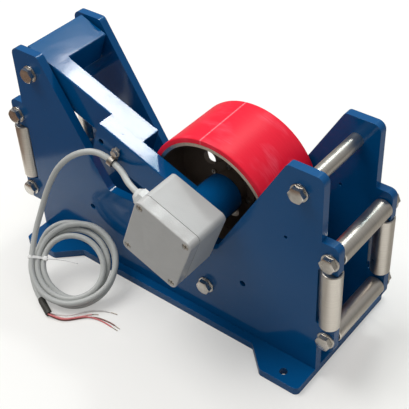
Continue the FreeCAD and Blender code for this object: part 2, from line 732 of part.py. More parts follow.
def make_tread():
    half = WHEEL_WIDTH / 2
    tread = cyl(WHEEL_R, on_axis(-half), on_axis(half))
    tread = tread.makeChamfer(TREAD_EDGE, [e for e in tread.Edges if e.Closed])
    return tread.cut(cyl(WHEEL_R - TREAD_T, on_axis(-half - 1), on_axis(half + 1)))


def make_wheel_washer():
    y = HUB_Y[1]
    return ring(WHEEL_WASHER_D / 2, WHEEL_SCREW_D / 2 + 0.2, on_axis(y), on_axis(y + WHEEL_WASHER_T))


def make_wheel_screw():
    y = HUB_Y[1] + WHEEL_WASHER_T
    screw = cyl(WHEEL_SCREW_D / 2, on_axis(y - WHEEL_SCREW_LEN), on_axis(y))
    head = hex_head(WHEEL_SCREW_AF, on_axis(y), (0, 1, 0), WHEEL_SCREW_HEAD_T)
    return screw.fuse(head).removeSplitter()


def make_coupling():
    y0, y1 = COUPLING_Y
    middle = COUPLING_MID_Y
    body = cyl(COUPLING_D / 2, on_axis(y0), on_axis(y1))
    body = body.cut(cyl(SPIGOT_D / 2, on_axis(middle), on_axis(y1 + 1)))
    body = body.cut(cyl(ENCODER_SHAFT_D / 2, on_axis(y0 - 1), on_axis(middle)))
    for y in (middle - 2.2, middle + 0.8, middle + 3.8):
        slit = ring(COUPLING_D / 2 + 1, COUPLING_D / 2 - 1.6, on_axis(y - 0.5), on_axis(y + 0.5))
        body = body.cut(slit)
    return body


def make_encoder_shaft():
    return cyl(ENCODER_SHAFT_D / 2, on_axis(BRACKET_Y[0] - ENCODER_BORE_LEN + 1),
               on_axis(COUPLING_MID_Y))


def box_x1():
    return BOX_X0 + BOX_W


def box_bottom():
    return BOX_TOP_Z - BOX_H


def lid_screw_spots():
    xs = (BOX_X0 + LID_SCREW_IN, box_x1() - LID_SCREW_IN)
    zs = (box_bottom() + LID_SCREW_IN, BOX_TOP_Z - LID_SCREW_IN)
    return [(x, z) for x in xs for z in zs]


def box_cavity(y0, y1, wall):
    points = box_outline(BOX_X0 + wall, box_x1() - wall, box_bottom() + wall, BOX_TOP_Z - wall, BOX_INNER_R)
    cavity = plate_xz(points, y0, y1)
    for x, z in lid_screw_spots():
        cavity = cavity.cut(cyl(POST_R, (x, y0 - 1, z), (x, y1 + 1, z)))
    return max(cavity.Solids, key=lambda s: s.Volume)


def make_box_body():
    points = box_outline(BOX_X0, box_x1(), box_bottom(), BOX_TOP_Z, BOX_R)
    body = plate_xz(points, BOX_SEAM_Y, BOX_BACK_Y)
    body = body.cut(box_cavity(BOX_SEAM_Y - 1, BOX_BACK_Y - BOX_WALL, BOX_WALL))
    for x, z in bracket_spots():
        boss = cyl(BOSS_R, (x, BRACKET_Y[1], z), (x, BOX_BACK_Y - BOX_WALL + 0.5, z))
        body = body.fuse(boss)
        body = body.cut(cyl(SMALL_SCREW_D / 2, (x, BRACKET_Y[1] - 1, z), (x, BRACKET_Y[1] + 7, z)))
    body = body.cut(cyl(SHAFT_WINDOW_R, on_axis(BOX_BACK_Y - BOX_WALL - 1), on_axis(BOX_BACK_Y + 1)))
    for x, z in small_screw_spots():
        body = body.cut(cyl(SMALL_SCREW_D / 2 + SMALL_SCREW_CLEAR, (x, BOX_BACK_Y - BOX_WALL - 1, z),
                            (x, BOX_BACK_Y + 1, z)))
    for x, z in lid_screw_spots():
        body = body.cut(cyl(LID_SCREW_D / 2, (x, BOX_SEAM_Y - 1, z), (x, BOX_SEAM_Y + LID_SCREW_BITE + 3, z)))
    body = body.cut(cyl(GLAND_THREAD_D / 2, (BOX_X0 - 1, GLAND_Y, GLAND_UP),
                        (BOX_X0 + BOX_WALL + 1, GLAND_Y, GLAND_UP)))
    return body.removeSplitter()


def make_gasket():
    inset = GASKET_IN
    points = box_outline(BOX_X0 + inset, box_x1() - inset, box_bottom() + inset, BOX_TOP_Z - inset,
                         BOX_R - inset)
    y0 = BOX_SEAM_Y - GASKET_T
    gasket = plate_xz(points, y0, BOX_SEAM_Y)
    gasket = gasket.cut(box_cavity(y0 - 1, BOX_SEAM_Y + 1, BOX_WALL))
    for x, z in lid_screw_spots():
        gasket = gasket.cut(cyl(LID_SCREW_D / 2 + 0.3, (x, y0 - 1, z), (x, BOX_SEAM_Y + 1, z)))
    return gasket


def make_lid():
    y1 = BOX_SEAM_Y - GASKET_T
    y0 = y1 - LID_T
    points = box_outline(BOX_X0, box_x1(), box_bottom(), BOX_TOP_Z, BOX_R)
    lid = plate_xz(points, y0, y1)
    front = [e for e in lid.Edges if e.BoundBox.YMax < y0 + 0.01]
    lid = lid.makeFillet(LID_EDGE_R, front)
    lid = lid.cut(box_cavity(y0 + LID_FACE_T, y1 + 1, BOX_WALL))
    for x, z in lid_screw_spots():
        lid = lid.cut(cyl(LID_SCREW_D / 2 + 0.2, (x, y0 - 1, z), (x, y1 + 1, z)))
        sink_y = y0 + LID_HEAD_T + LID_HEAD_SINK
        lid = lid.cut(cyl(LID_HEAD_D / 2 + LID_HEAD_CLEAR, (x, y0 - 1, z), (x, sink_y, z)))
    return lid


def make_lid_screws():
    screws = []
    seat = BOX_SEAM_Y - GASKET_T - LID_T + LID_HEAD_T + LID_HEAD_SINK
    for x, z in lid_screw_spots():
        screw = cyl(LID_HEAD_D / 2, (x, seat - LID_HEAD_T, z), (x, seat, z))
        screw = screw.fuse(cyl(LID_SCREW_D / 2, (x, seat, z), (x, BOX_SEAM_Y + LID_SCREW_BITE, z)))
        slot = block(x - 4, x + 4, seat - LID_HEAD_T - 1, seat - LID_HEAD_T + 1.4, z - 0.6, z + 0.6)
        slot2 = block(x - 0.6, x + 0.6, seat - LID_HEAD_T - 1, seat - LID_HEAD_T + 1.4, z - 2.6, z + 2.6)
        screws.append(screw.cut(slot).cut(slot2).removeSplitter())
    return screws


def make_small_screws():
    screws = []
    seats = [(x, z, BOX_BACK_Y - BOX_WALL) for x, z in small_screw_spots()]
    seats += [(x, z, BRACKET_Y[0] - ENCODER_FLANGE_T) for x, z in bracket_spots()]
    for x, z, y in seats:
        screw = cyl(SMALL_HEAD_D / 2, (x, y - SMALL_HEAD_T, z), (x, y, z))
        screw = screw.fuse(cyl(SMALL_SCREW_D / 2, (x, y, z), (x, y + SMALL_SCREW_LEN, z)))
        socket = hex_prism(2.5, (x, y - SMALL_HEAD_T - 0.01, z), (0, 1, 0), 1.6)
        screws.append(screw.cut(socket).removeSplitter())
    return screws


def make_bracket():
    y0, y1 = BRACKET_Y
    plate = ring(BRACKET_R, BRACKET_HOLE_R, on_axis(y0), on_axis(y1))
    for x, z in bracket_spots():
        plate = plate.cut(cyl(SMALL_SCREW_D / 2 + SMALL_SCREW_CLEAR, (x, y0 - 1, z), (x, y1 + 1, z)))
    return plate


def make_encoder():
    y1 = BRACKET_Y[0]
    body = cyl(ENCODER_R, on_axis(y1 - ENCODER_LEN), on_axis(y1))
    flange = cyl(ENCODER_FLANGE_R, on_axis(y1 - ENCODER_FLANGE_T), on_axis(y1))
    body = body.fuse(flange)
    for x, z in bracket_spots():
        bore_r = SMALL_SCREW_D / 2 + SMALL_SCREW_CLEAR
        body = body.cut(cyl(bore_r, (x, y1 - ENCODER_FLANGE_T - 1, z), (x, y1 + 1, z)))
        sink_r = SMALL_HEAD_D / 2 + SMALL_SCREW_CLEAR
        body = body.cut(cyl(sink_r, (x, y1 - ENCODER_LEN - 1, z), (x, y1 - ENCODER_FLANGE_T, z)))
    bore = ENCODER_SHAFT_D / 2 + RUN_CLEAR
    body = body.cut(cyl(bore, on_axis(y1 - ENCODER_BORE_LEN), on_axis(y1 + 1)))
    return body.removeSplitter()


def make_terminal_block():
    length, depth, height = TERMINAL_LEN, TERMINAL_DEEP, TERMINAL_H
    x0 = (BOX_X0 + box_x1()) / 2 - length / 2
    z0 = box_bottom() + BOX_WALL
    y1 = BOX_BACK_Y - BOX_WALL
    block_solid = block(x0, x0 + length, y1 - depth, y1, z0, z0 + height)
    for i in range(6):
        x = x0 + length * (i + 0.5) / 6
        block_solid = block_solid.cut(cyl(1.9, (x, y1 - depth - 1, z0 + 8), (x, y1 - depth + 3, z0 + 8)))
        mouth = block(x - 1.6, x + 1.6, y1 - depth - 1, y1 - depth + 4, z0 + 1.4, z0 + 4.4)
        block_solid = block_solid.cut(mouth)
    return block_solid


def make_gland():
    face = BOX_X0
    body = hex_head(GLAND_AF, (face, GLAND_Y, GLAND_UP), (-1, 0, 0), GLAND_T, 30.0)
    thread = cyl(GLAND_THREAD_D / 2, (face, GLAND_Y, GLAND_UP), (face + BOX_WALL + 4, GLAND_Y, GLAND_UP))
    body = body.fuse(thread)
    body = body.cut(cyl(CABLE_D / 2, (face - 20, GLAND_Y, GLAND_UP), (face + 20, GLAND_Y, GLAND_UP)))
    return body.removeSplitter()


def make_gland_nut():
    start = BOX_X0 - GLAND_T
    nut = hex_head(GLAND_AF, (start, GLAND_Y, GLAND_UP), (-1, 0, 0), DOME_LEN * 0.6, 30.0)
    dome = Part.makeCone(GLAND_AF / 2 - 0.3, CABLE_D / 2 + 2.4, DOME_LEN * 0.4,
                         V(start - DOME_LEN * 0.6, GLAND_Y, GLAND_UP), V(-1, 0, 0))
    nut = nut.fuse(dome)
    nut = nut.cut(cyl(CABLE_D / 2, (start - 40, GLAND_Y, GLAND_UP), (start + 20, GLAND_Y, GLAND_UP)))
    return nut.removeSplitter()


def make_clip_liner():
    x0 = CLIP_X - CLIP_W / 2 - CLIP_LIP
    x1 = CLIP_X + CLIP_W / 2 + CLIP_LIP
    return ring(CLIP_LINER_R, CABLE_D / 2, (x0, CLIP_Y, CLIP_UP), (x1, CLIP_Y, CLIP_UP))


def make_clip_band():
    x0 = CLIP_X - CLIP_W / 2
    x1 = CLIP_X + CLIP_W / 2
    band = cyl(CLIP_LINER_R + CLIP_BAND_T, (x0, CLIP_Y, CLIP_UP), (x1, CLIP_Y, CLIP_UP))
    face = OUTER_BAR_Y[0]
    tab = block(x0, x1, face - 2 * CLIP_BAND_T, face, CLIP_UP, CLIP_SCREW_UP + CLIP_SCREW_FLANGE_D / 2)
    band = band.fuse(tab)
    band = band.cut(cyl(CLIP_LINER_R, (x0 - 1, CLIP_Y, CLIP_UP), (x1 + 1, CLIP_Y, CLIP_UP)))
    hole_r = CLIP_SCREW_D / 2 + 0.2
    band = band.cut(cyl(hole_r, (CLIP_X, face - 5, CLIP_SCREW_UP), (CLIP_X, face + 1, CLIP_SCREW_UP)))
    return max(band.Solids, key=lambda s: s.Volume)


def make_clip_screw():
    face = OUTER_BAR_Y[0] - 2 * CLIP_BAND_T
    under = face - CLIP_SCREW_FLANGE_T
    head = hex_head(CLIP_SCREW_AF, (CLIP_X, under, CLIP_SCREW_UP), (0, -1, 0), CLIP_SCREW_HEAD_T)
    flange = cyl(CLIP_SCREW_FLANGE_D / 2, (CLIP_X, under, CLIP_SCREW_UP), (CLIP_X, face, CLIP_SCREW_UP))
    shank = cyl(CLIP_SCREW_D / 2, (CLIP_X, face, CLIP_SCREW_UP), (CLIP_X, face + 8, CLIP_SCREW_UP))
    return head.fuse(flange).fuse(shank).removeSplitter()


def tube_path(points, radius):
    """Round tube along straight runs joined by tangent arcs: the solid, its length, its bends."""
    pts = [V(*p) for p in points]
    edges = []
    length = 0.0
    bends = []
    last = pts[0]
    for i in range(1, len(pts) - 1):
        back = pts[i - 1] - pts[i]
        ahead = pts[i + 1] - pts[i]
        run = min(back.Length, ahead.Length)
        back.normalize()
        ahead.normalize()
        turn = math.pi - back.getAngle(ahead)
        cut = 0.45 * run
        bend = cut / math.tan(turn / 2)
        bends.append(round(bend, 1))
        inward = back + ahead
        inward.normalize()
        centre = pts[i] + inward * math.hypot(bend, cut)
        start = pts[i] + back * cut
        end = pts[i] + ahead * cut
        middle = centre - inward * bend
        edges.append(Part.LineSegment(last, start).toShape())
        edges.append(Part.Arc(start, middle, end).toShape())
        length += (start - last).Length + bend * turn
        last = end
    edges.append(Part.LineSegment(last, pts[-1]).toShape())
    length += (pts[-1] - last).Length
    route = Part.Wire(edges)
    along = pts[1] - pts[0]
    section = Part.Wire([Part.makeCircle(radius, pts[0], along)])
    return route.makePipeShell([section], True, False), length, bends


def lead_points():
    start = arm_point(BOX_X0 + 13, GLAND_Y, GLAND_UP)
    leave = arm_point(BOX_X0 - 32.3, GLAND_Y, GLAND_UP)
    near = arm_point(CLIP_X + 18.9, CLIP_Y, CLIP_UP)
    far = arm_point(CLIP_X - 17.5, CLIP_Y, CLIP_UP)
    out = -PLATE_OUT
    free = [(-94.5, out - 22.0, 185.5), (-121.5, out - 29.0, 161.5), (-141.0, out - 35.0, 126.0),
            (-149.5, out - 48.0, 88.0), (-143.6, out - 64.0, 64.5)]
    fixed = [(p.x, p.y, p.z) for p in (start, leave, near, far)]
    return fixed + free


def coil_frame():
    n = V(*COIL_NORMAL)
    n.normalize()
    along = V(-1, 0, 0) - n * n.dot(V(-1, 0, 0))
    along.normalize()
    return n, along, n.cross(along)


def coil_point(radius, angle, height):
    n, e1, e2 = coil_frame()
    a = math.radians(angle)
    return V(*COIL_CENTRE) + e1 * (radius * math.cos(a)) + e2 * (radius * math.sin(a)) + n * height


def coil_section(grow, angle):
    h = COIL_HALF_H + grow
    points = box_outline(COIL_IN_R - grow, COIL_OUT_R + grow, -h, h, COIL_EDGE_R + grow)
    return Part.Face(rounded_wire(points, lambda p: coil_point(p.x, angle, p.y)))


def make_coil():
    n, e1, e2 = coil_frame()
    ring_solid = coil_section(0.0, 180.0).revolve(V(*COIL_CENTRE), n, 360)
    joint = lead_points()[-1]
    before = lead_points()[-2]
    step = V(*joint) - V(*before)
    step.normalize()
    inside = V(*joint) + step * 16.0
    stub = cyl(CABLE_D / 2, joint, (inside.x, inside.y, inside.z))
    tail, tail_len, tail_bends = tube_path(tail_points(), CABLE_D / 2)
    coil = ring_solid.fuse(stub).fuse(tail)
    print("cable tail length", round(tail_len, 1), "bends", tail_bends)
    return coil.removeSplitter()


def tail_points():
    out = -PLATE_OUT
    floor = SLEEVE_D / 2 + 0.1
    return [(-150.5, out - 48.5, 53.0), (-151.0, out - 76.5, 19.5), (-136.0, out - 88.6, floor),
            (-116.0, out - 97.6, floor)]


def sleeve_ends():
    """The shrunk sleeve carries straight on from the end of the jacket."""
    before, start = tail_points()[-2:]
    along = V(*start) - V(*before)
    along.normalize()
    return start, tuple(V(*start) + along * SLEEVE_LEN)


def make_sleeve():
    return cyl(SLEEVE_D / 2, *sleeve_ends())


def wire_routes():
    """Four conductors that leave the sleeve and lie on the floor."""
    out = -PLATE_OUT
    low = WIRE_D / 2 + 0.05
    return [
        [(-91.8, out - 107.6, 5.4), (-79.5, out - 101.0, 2.4), (-68.3, out - 89.4, low),
         (-56.0, out - 73.0, low), (-40.0, out - 60.5, low), (-27.0, out - 58.0, low)],
        [(-91.6, out - 110.0, 5.0), (-79.0, out - 106.0, 2.2), (-61.0, out - 91.5, low),
         (-44.0, out - 76.0, low), (-26.0, out - 73.5, low), (-12.0, out - 76.5, low)],
        [(-91.8, out - 107.2, 3.4), (-78.0, out - 97.5, low + 0.4), (-63.0, out - 83.5, low),
         (-52.0, out - 66.0, low)],
        [(-91.6, out - 109.8, 3.0), (-78.0, out - 109.0, low + 0.2), (-60.0, out - 96.0, low),
         (-43.0, out - 82.0, low), (-22.0, out - 81.0, low)],
    ]


def make_wires():
    wires = []
    for route in wire_routes():
        wire = tube_path(route, WIRE_D / 2)[0]
        wires.append(wire.cut(cyl(SLEEVE_D / 2, *sleeve_ends())))
    return wires


def make_tie():
    n, e1, e2 = coil_frame()
    sweep = math.degrees(TIE_W / COIL_OUT_R)
    band = coil_section(TIE_T, TIE_AT_DEG).revolve(V(*COIL_CENTRE), n, sweep)
    band = band.cut(coil_section(0.0, 180.0).revolve(V(*COIL_CENTRE), n, 360))
    return band


def cord_report(name, solid, radius, length, bends):
    expected = math.pi * radius * radius * length
    print(name, "radius", radius, "length", round(length, 1), "volume", round(solid.Volume, 1),
          "expected", round(expected, 1), "ratio", round(solid.Volume / expected, 4), "bends", bends)


def save(name, shape):
    if isinstance(shape, list):
        shape = Part.makeCompound(shape)
    bad = [s for s in shape.Solids if not s.isValid() or s.Volume <= 0]
    box = shape.BoundBox
    print(name, len(shape.Solids), "solids", round(shape.Volume / 1000.0, 2), "cm3",
          "X", round(box.XMin, 1), round(box.XMax, 1), "Y", round(box.YMin, 1), round(box.YMax, 1),
          "Z", round(box.ZMin, 1), round(box.ZMax, 1), "BAD" if bad else "")
    shape.exportStep("parts/" + name + ".step")


os.makedirs("parts", exist_ok=True)

save("base_plate", make_base())
save("front_plate", make_side_plate(-1))
save("back_plate", make_side_plate(1))
save("base_screws", make_base_screws())
save("axle_bolts", [make_axle(x, z) for x, z in axle_positions()])
save("axle_washers", [w for x, z in axle_positions() for w in make_washers(x, z)])
save("axle_nuts", [make_nut(x, z) for x, z in axle_positions()])
save("guide_tube", make_guide_tube())
save("side_pins", make_side_pins())

for end_name, end_x in (("left", -END_AXLE_X), ("right", END_AXLE_X)):
    for level_name, level_z in (("bottom", END_AXLE_Z[0]), ("top", END_AXLE_Z[1])):
        roller, roller_bushes = make_tube_roller(end_x, level_z, ROLLER_D, ROLLER_WALL)
        save("roller_" + end_name + "_" + level_name, roller)
        save("bushes_" + end_name + "_" + level_name, roller_bushes)
    save("roller_" + end_name + "_front", make_upright_roller(end_x, -1))
    save("roller_" + end_name + "_back", make_upright_roller(end_x, 1))
support, support_bushes = make_tube_roller(*support_axle(), SUPPORT_D, SUPPORT_WALL)
save("support_roller", support)
save("support_bushes", support_bushes)

save("arm_crosspiece", on_arm(make_crosspiece()))
save("arm_cross_ends", [on_arm(s) for s in make_cross_ends()])
save("pivot_bushes", [on_arm(s) for s in make_pivot_bushes()])
save("arm_inner_bar", on_arm(make_inner_bar()))
save("arm_outer_bar", on_arm(make_outer_bar()))
save("arm_end_caps", [on_arm(s) for s in make_arm_caps()])
save("bearing_housing", on_arm(make_housing()))
save("bearing_outer_rings", [on_arm(s) for s in make_outer_rings()])
save("box_body", on_arm(make_box_body()))
save("box_gasket", on_arm(make_gasket()))
save("box_lid", on_arm(make_lid()))
save("lid_screws", [on_arm(s) for s in make_lid_screws()])
save("small_screws", [on_arm(s) for s in make_small_screws()])
save("encoder_bracket", on_arm(make_bracket()))
save("encoder_body", on_arm(make_encoder()))
save("terminal_block", on_arm(make_terminal_block()))
save("cable_gland", on_arm(make_gland()))
save("gland_nut", on_arm(make_gland_nut()))
save("clip_liner", on_arm(make_clip_liner()))
save("clip_band", on_arm(make_clip_band()))
save("clip_screw", on_arm(make_clip_screw()))

save("wheel_rim", on_arm(make_wheel()))
save("wheel_tread", on_arm(make_tread()))
save("wheel_shaft", on_arm(make_shaft()))
save("wheel_key", on_arm(make_key()))
save("wheel_washer", on_arm(make_wheel_washer()))
save("wheel_screw", on_arm(make_wheel_screw()))
save("bearing_inner_rings", [on_arm(s) for s in make_inner_rings()])
save("bearing_spacer", on_arm(make_bearing_spacer()))
save("shaft_coupling", on_arm(make_coupling()))
save("encoder_shaft", on_arm(make_encoder_shaft()))

lead, lead_len, lead_bends = tube_path(lead_points(), CABLE_D / 2)
save("cable_lead", lead)
cord_report("cable_lead", lead, CABLE_D / 2, lead_len, lead_bends)
save("cable_coil", make_coil())
save("cable_tie", make_tie())
save("cable_sleeve", make_sleeve())
save("cable_conductors", make_wires())
for number, wire_route in enumerate(wire_routes()):
    wire, wire_len, wire_bends = tube_path(wire_route, WIRE_D / 2)
    cord_report("conductor " + str(number + 1), wire, WIRE_D / 2, wire_len, wire_bends)
print("rest angle", round(ARM_ANGLE, 3), "wheel axis", [round(v, 3) for v in wheel_axis()],
      "support axle", [round(v, 3) for v in support_axle()])
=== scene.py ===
import math
import bmesh
import bpy
from mathutils import Matrix, Vector
from mathutils.geometry import convex_hull_2d


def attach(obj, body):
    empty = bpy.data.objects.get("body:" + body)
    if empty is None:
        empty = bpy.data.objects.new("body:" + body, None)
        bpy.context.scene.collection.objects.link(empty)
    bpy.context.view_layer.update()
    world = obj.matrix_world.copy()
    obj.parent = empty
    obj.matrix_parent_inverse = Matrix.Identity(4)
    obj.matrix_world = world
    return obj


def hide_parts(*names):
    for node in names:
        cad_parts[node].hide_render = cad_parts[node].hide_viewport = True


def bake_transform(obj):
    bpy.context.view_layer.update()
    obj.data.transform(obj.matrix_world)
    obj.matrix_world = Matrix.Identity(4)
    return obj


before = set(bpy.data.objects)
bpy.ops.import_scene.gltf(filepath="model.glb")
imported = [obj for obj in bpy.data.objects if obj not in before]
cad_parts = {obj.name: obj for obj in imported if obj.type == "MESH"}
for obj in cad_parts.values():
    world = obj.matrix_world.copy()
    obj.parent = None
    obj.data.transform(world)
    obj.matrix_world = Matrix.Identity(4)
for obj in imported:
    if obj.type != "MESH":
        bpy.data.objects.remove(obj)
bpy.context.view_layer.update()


# ---- Base plate
# A 10 mm steel plate with a fixing ear at each corner, cut, drilled and sprayed with gloss blue
# two-pack paint. It stands on the bench and carries both side plates.

def put(tree, kind, wires=None, **settings):
    """Adds a node. wires gives each input, by name or number, a value or another output."""
    made = tree.nodes.new(kind)
    for name, value in settings.items():
        setattr(made, name, value)
    for name, value in (wires or {}).items():
        if isinstance(value, bpy.types.NodeSocket):
            tree.links.new(value, made.inputs[name])
        else:
            made.inputs[name].default_value = value
    return made


def maths(tree, operation, *values, **settings):
    """The result of one sum on numbers or other nodes' outputs."""
    return put(tree, "ShaderNodeMath", dict(enumerate(values)), operation=operation,
               **settings).outputs[0]


def mixed(tree, share, first, second):
    """The colour that lies the given share of the way from first to second."""
    return put(tree, "ShaderNodeMix", {0: share, 6: first, 7: second}, data_type="RGBA").outputs[2]


def ranged(tree, value, low, high, to_low=0.0, to_high=1.0, **settings):
    """The value, with low to high spread over to_low to to_high and held inside it."""
    return put(tree, "ShaderNodeMapRange", {"Value": value, 1: low, 2: high, 3: to_low, 4: to_high},
               **settings).outputs[0]


def clouds(tree, where, scale, detail=2.0, roughness=0.5):
    """A soft random pattern from 0 to 1; scale counts its patches to the metre."""
    return put(tree, "ShaderNodeTexNoise", {"Vector": where, "Scale": scale, "Detail": detail,
                                            "Roughness": roughness}).outputs["Fac"]


def raised(tree, height, depth):
    """The surface's direction over marks of the given depth in metres."""
    return put(tree, "ShaderNodeBump", {"Height": height, "Distance": depth}).outputs[0]


def finish_group(name, **inputs):
    """An empty shader group with named inputs, for a colour, a roughness and a normal."""
    tree = bpy.data.node_groups.new(name, "ShaderNodeTree")
    kinds = {4: "NodeSocketColor", 3: "NodeSocketVector"}
    for label, value in inputs.items():
        kind = kinds[len(value)] if isinstance(value, tuple) else "NodeSocketFloat"
        socket = tree.interface.new_socket(label.replace("_", " "), in_out="INPUT", socket_type=kind)
        socket.default_value = value
    for label, kind in (("Colour", "NodeSocketColor"), ("Roughness", "NodeSocketFloat"),
                        ("Normal", "NodeSocketVector")):
        tree.interface.new_socket(label, in_out="OUTPUT", socket_type=kind)
    return tree, put(tree, "NodeGroupInput").outputs


def hand_on(tree, colour, roughness, normal):
    """Closes a finish group with what it gives to a material."""
    put(tree, "NodeGroupOutput", {"Colour": colour, "Roughness": roughness, "Normal": normal})


def new_finish(name, **sockets):
    """A material; each keyword sets the socket of that name on its own shader."""
    finish = bpy.data.materials.new(name)
    finish.use_nodes = True
    shader = finish.node_tree.nodes["Principled BSDF"]
    for label, value in sockets.items():
        shader.inputs[label.replace("_", " ")].default_value = value
    return finish, finish.node_tree, shader


def finish_from(group, name, values, **sockets):
    """A material whose surface comes from a shared group with its own values."""
    finish, tree, shader = new_finish(name, **sockets)
    surface = put(tree, "ShaderNodeGroup", values, node_tree=group)
    for label, socket in (("Colour", "Base Color"), ("Roughness", "Roughness"),
                          ("Normal", "Normal")):
        tree.links.new(surface.outputs[label], shader.inputs[socket])
    return finish


# Paint as it comes from the gun: a slow drift of tone, runs, orange peel, and dust settled in it.
sprayed, get = finish_group("Sprayed coat", Colour=(0.5, 0.5, 0.5, 1), Thin_colour=(0.4, 0.4, 0.4, 1),
                            Drift=0.5, Peel_scale=420.0, Peel_depth=0.00002, Gloss=0.15)
where = put(sprayed, "ShaderNodeTexCoord").outputs["Object"]
slow = clouds(sprayed, where, 9.0, 3.0)
peel = clouds(sprayed, where, get["Peel scale"], 2.0)
runs = clouds(sprayed, where, 55.0, 1.0)
nibs = put(sprayed, "ShaderNodeTexVoronoi", {"Vector": where, "Scale": 95.0})
speck = ranged(sprayed, nibs.outputs["Distance"], 0.035, 0.09, 1.0, 0.0)
tone = mixed(sprayed, maths(sprayed, "MULTIPLY", slow, get["Drift"]), get["Colour"], get["Thin colour"])
dulled = maths(sprayed, "ADD", maths(sprayed, "MULTIPLY", speck, 0.18), get["Gloss"])
rough = maths(sprayed, "ADD", dulled, ranged(sprayed, slow, 0.0, 1.0, -0.03, 0.05), use_clamp=True)
skin = maths(sprayed, "MULTIPLY_ADD", runs, 8.0, maths(sprayed, "ADD", peel, speck))
hand_on(sprayed, tone, rough, raised(sprayed, skin, get["Peel depth"]))


def coated(name, colour, thin, drift, peel_scale, peel_depth, gloss, **sockets):
    """A sprayed or moulded finish with its own colours, drift, peel and gloss."""
    return finish_from(sprayed, name, {
        "Colour": (*colour, 1), "Thin colour": (*thin, 1), "Drift": drift, "Peel scale": peel_scale,
        "Peel depth": peel_depth, "Gloss": gloss}, **sockets)


blue_gloss = coated("Blue gloss paint", (0.001, 0.093, 0.278), (0.001, 0.070, 0.218), drift=0.8,
                    peel_scale=260.0, peel_depth=0.000012, gloss=0.10, Specular_IOR_Level=0.37)


def plain_mesh(piece):
    """Turns a piece with modifiers into one plain mesh with crisp edges."""
    bpy.context.view_layer.update()
    shown_now = piece.evaluated_get(bpy.context.evaluated_depsgraph_get())
    done = bpy.data.meshes.new_from_object(shown_now)
    piece.modifiers.clear()
    piece.data = done
    done.polygons.foreach_set("use_smooth", [True] * len(done.polygons))
    done.set_sharp_from_angle(angle=math.radians(31))
    return piece


def new_piece(name, verts, faces):
    """A piece at the origin, from its corners in metres and its faces."""
    mesh = bpy.data.meshes.new(name)
    mesh.from_pydata([tuple(v) for v in verts], [], faces)
    mesh.update()
    piece = bpy.data.objects.new(name, mesh)
    bpy.context.scene.collection.objects.link(piece)
    return piece


def merged_copy(name, node):
    """A copy of a node's mesh with its loose triangles joined and its flats made whole."""
    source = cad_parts[node].data
    piece = new_piece(name, [v.co for v in source.vertices],
                      [tuple(p.vertices) for p in source.polygons])
    work = bmesh.new()
    work.from_mesh(piece.data)
    bmesh.ops.remove_doubles(work, verts=work.verts, dist=2e-6)
    bmesh.ops.dissolve_limit(work, angle_limit=math.radians(0.4), verts=work.verts,
                             edges=work.edges)
    work.to_mesh(piece.data)
    work.free()
    return piece


def eased(name, node, width, steps=2):
    """The node's shape with its sharp edges broken by the given width."""
    piece = merged_copy(name, node)
    bevel = piece.modifiers.new("Broken edges", "BEVEL")
    bevel.width = width
    bevel.segments = steps
    bevel.limit_method = "ANGLE"
    bevel.angle_limit = math.radians(38)
    bevel.use_clamp_overlap = True
    piece.data.polygons.foreach_set("use_smooth", [True] * len(piece.data.polygons))
    even = piece.modifiers.new("Flats stay flat", "WEIGHTED_NORMAL")
    even.keep_sharp = True
    return plain_mesh(piece)


def fit(piece, body, slot, finish, *nodes):
    """Gives a piece its finish and its place in the assembly."""
    if finish is not None:
        piece.data.materials.clear()
        piece.data.materials.append(finish)
    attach(piece, body)
    if nodes:
        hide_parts(*nodes)
    return piece


fit(eased("base", "base_plate", width=0.0009, steps=3), "frame", "blue_paint", blue_gloss,
    "base_plate")


# ---- Side plates
# Two 10 mm steel plates, profile cut with a deep notch between two horns, drilled, edges eased
# and painted with the base. Tabs at each end hold the fairlead axles.

for side in ("front", "back"):
    plate = eased(side + "_side", side + "_plate", width=0.0010, steps=3)
    fit(plate, "frame", "blue_paint", blue_gloss, side + "_plate")


# ---- Plate screws and roller pins
# Countersunk socket screws of zinc plated steel come up through the base plate and hold the side
# plates. The pins of the upright rollers are bright turned steel, pressed into the side plates.

def scaled(tree, where, sizes):
    """A place or direction with each of its three parts multiplied."""
    return put(tree, "ShaderNodeVectorMath", {0: where, 1: sizes}, operation="MULTIPLY").outputs[0]


turned, get = finish_group("Turned steel", Light_colour=(0.7, 0.68, 0.64, 1),
                           Dark_colour=(0.5, 0.48, 0.45, 1), Lines=(0, 1, 0), Line_scale=900.0,
                           Gloss=0.25, Depth=0.00001, Stain=0.5)
where = put(turned, "ShaderNodeTexCoord").outputs["Object"]
lines = clouds(turned, scaled(turned, where, get["Lines"]), get["Line scale"], 4.0)
blotch = clouds(turned, where, 55.0, 4.0)
both = put(turned, "ShaderNodeMix", {0: get["Stain"], 2: lines, 3: blotch}).outputs[0]
tone = mixed(turned, ranged(turned, both, 0.3, 0.7), get["Dark colour"], get["Light colour"])
uneven = ranged(turned, blotch, 0.3, 0.7, -0.05, 0.09)
rough = maths(turned, "ADD", uneven, get["Gloss"], use_clamp=True)
hand_on(turned, tone, rough, raised(turned, lines, get["Depth"]))


def machined(name, light, dark, lines_along, line_scale, gloss, depth, stain):
    """A turned or ground metal; lines_along says which way the tool travelled."""
    return finish_from(turned, name, {
        "Light colour": (*light, 1), "Dark colour": (*dark, 1), "Lines": lines_along,
        "Line scale": line_scale, "Gloss": gloss, "Depth": depth, "Stain": stain}, Metallic=1.0)


def dress(finish, *nodes):
    """Gives CAD nodes that are shown as they are their finish."""
    for node in nodes:
        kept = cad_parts[node]
        kept.data.materials.clear()
        kept.data.materials.append(finish)


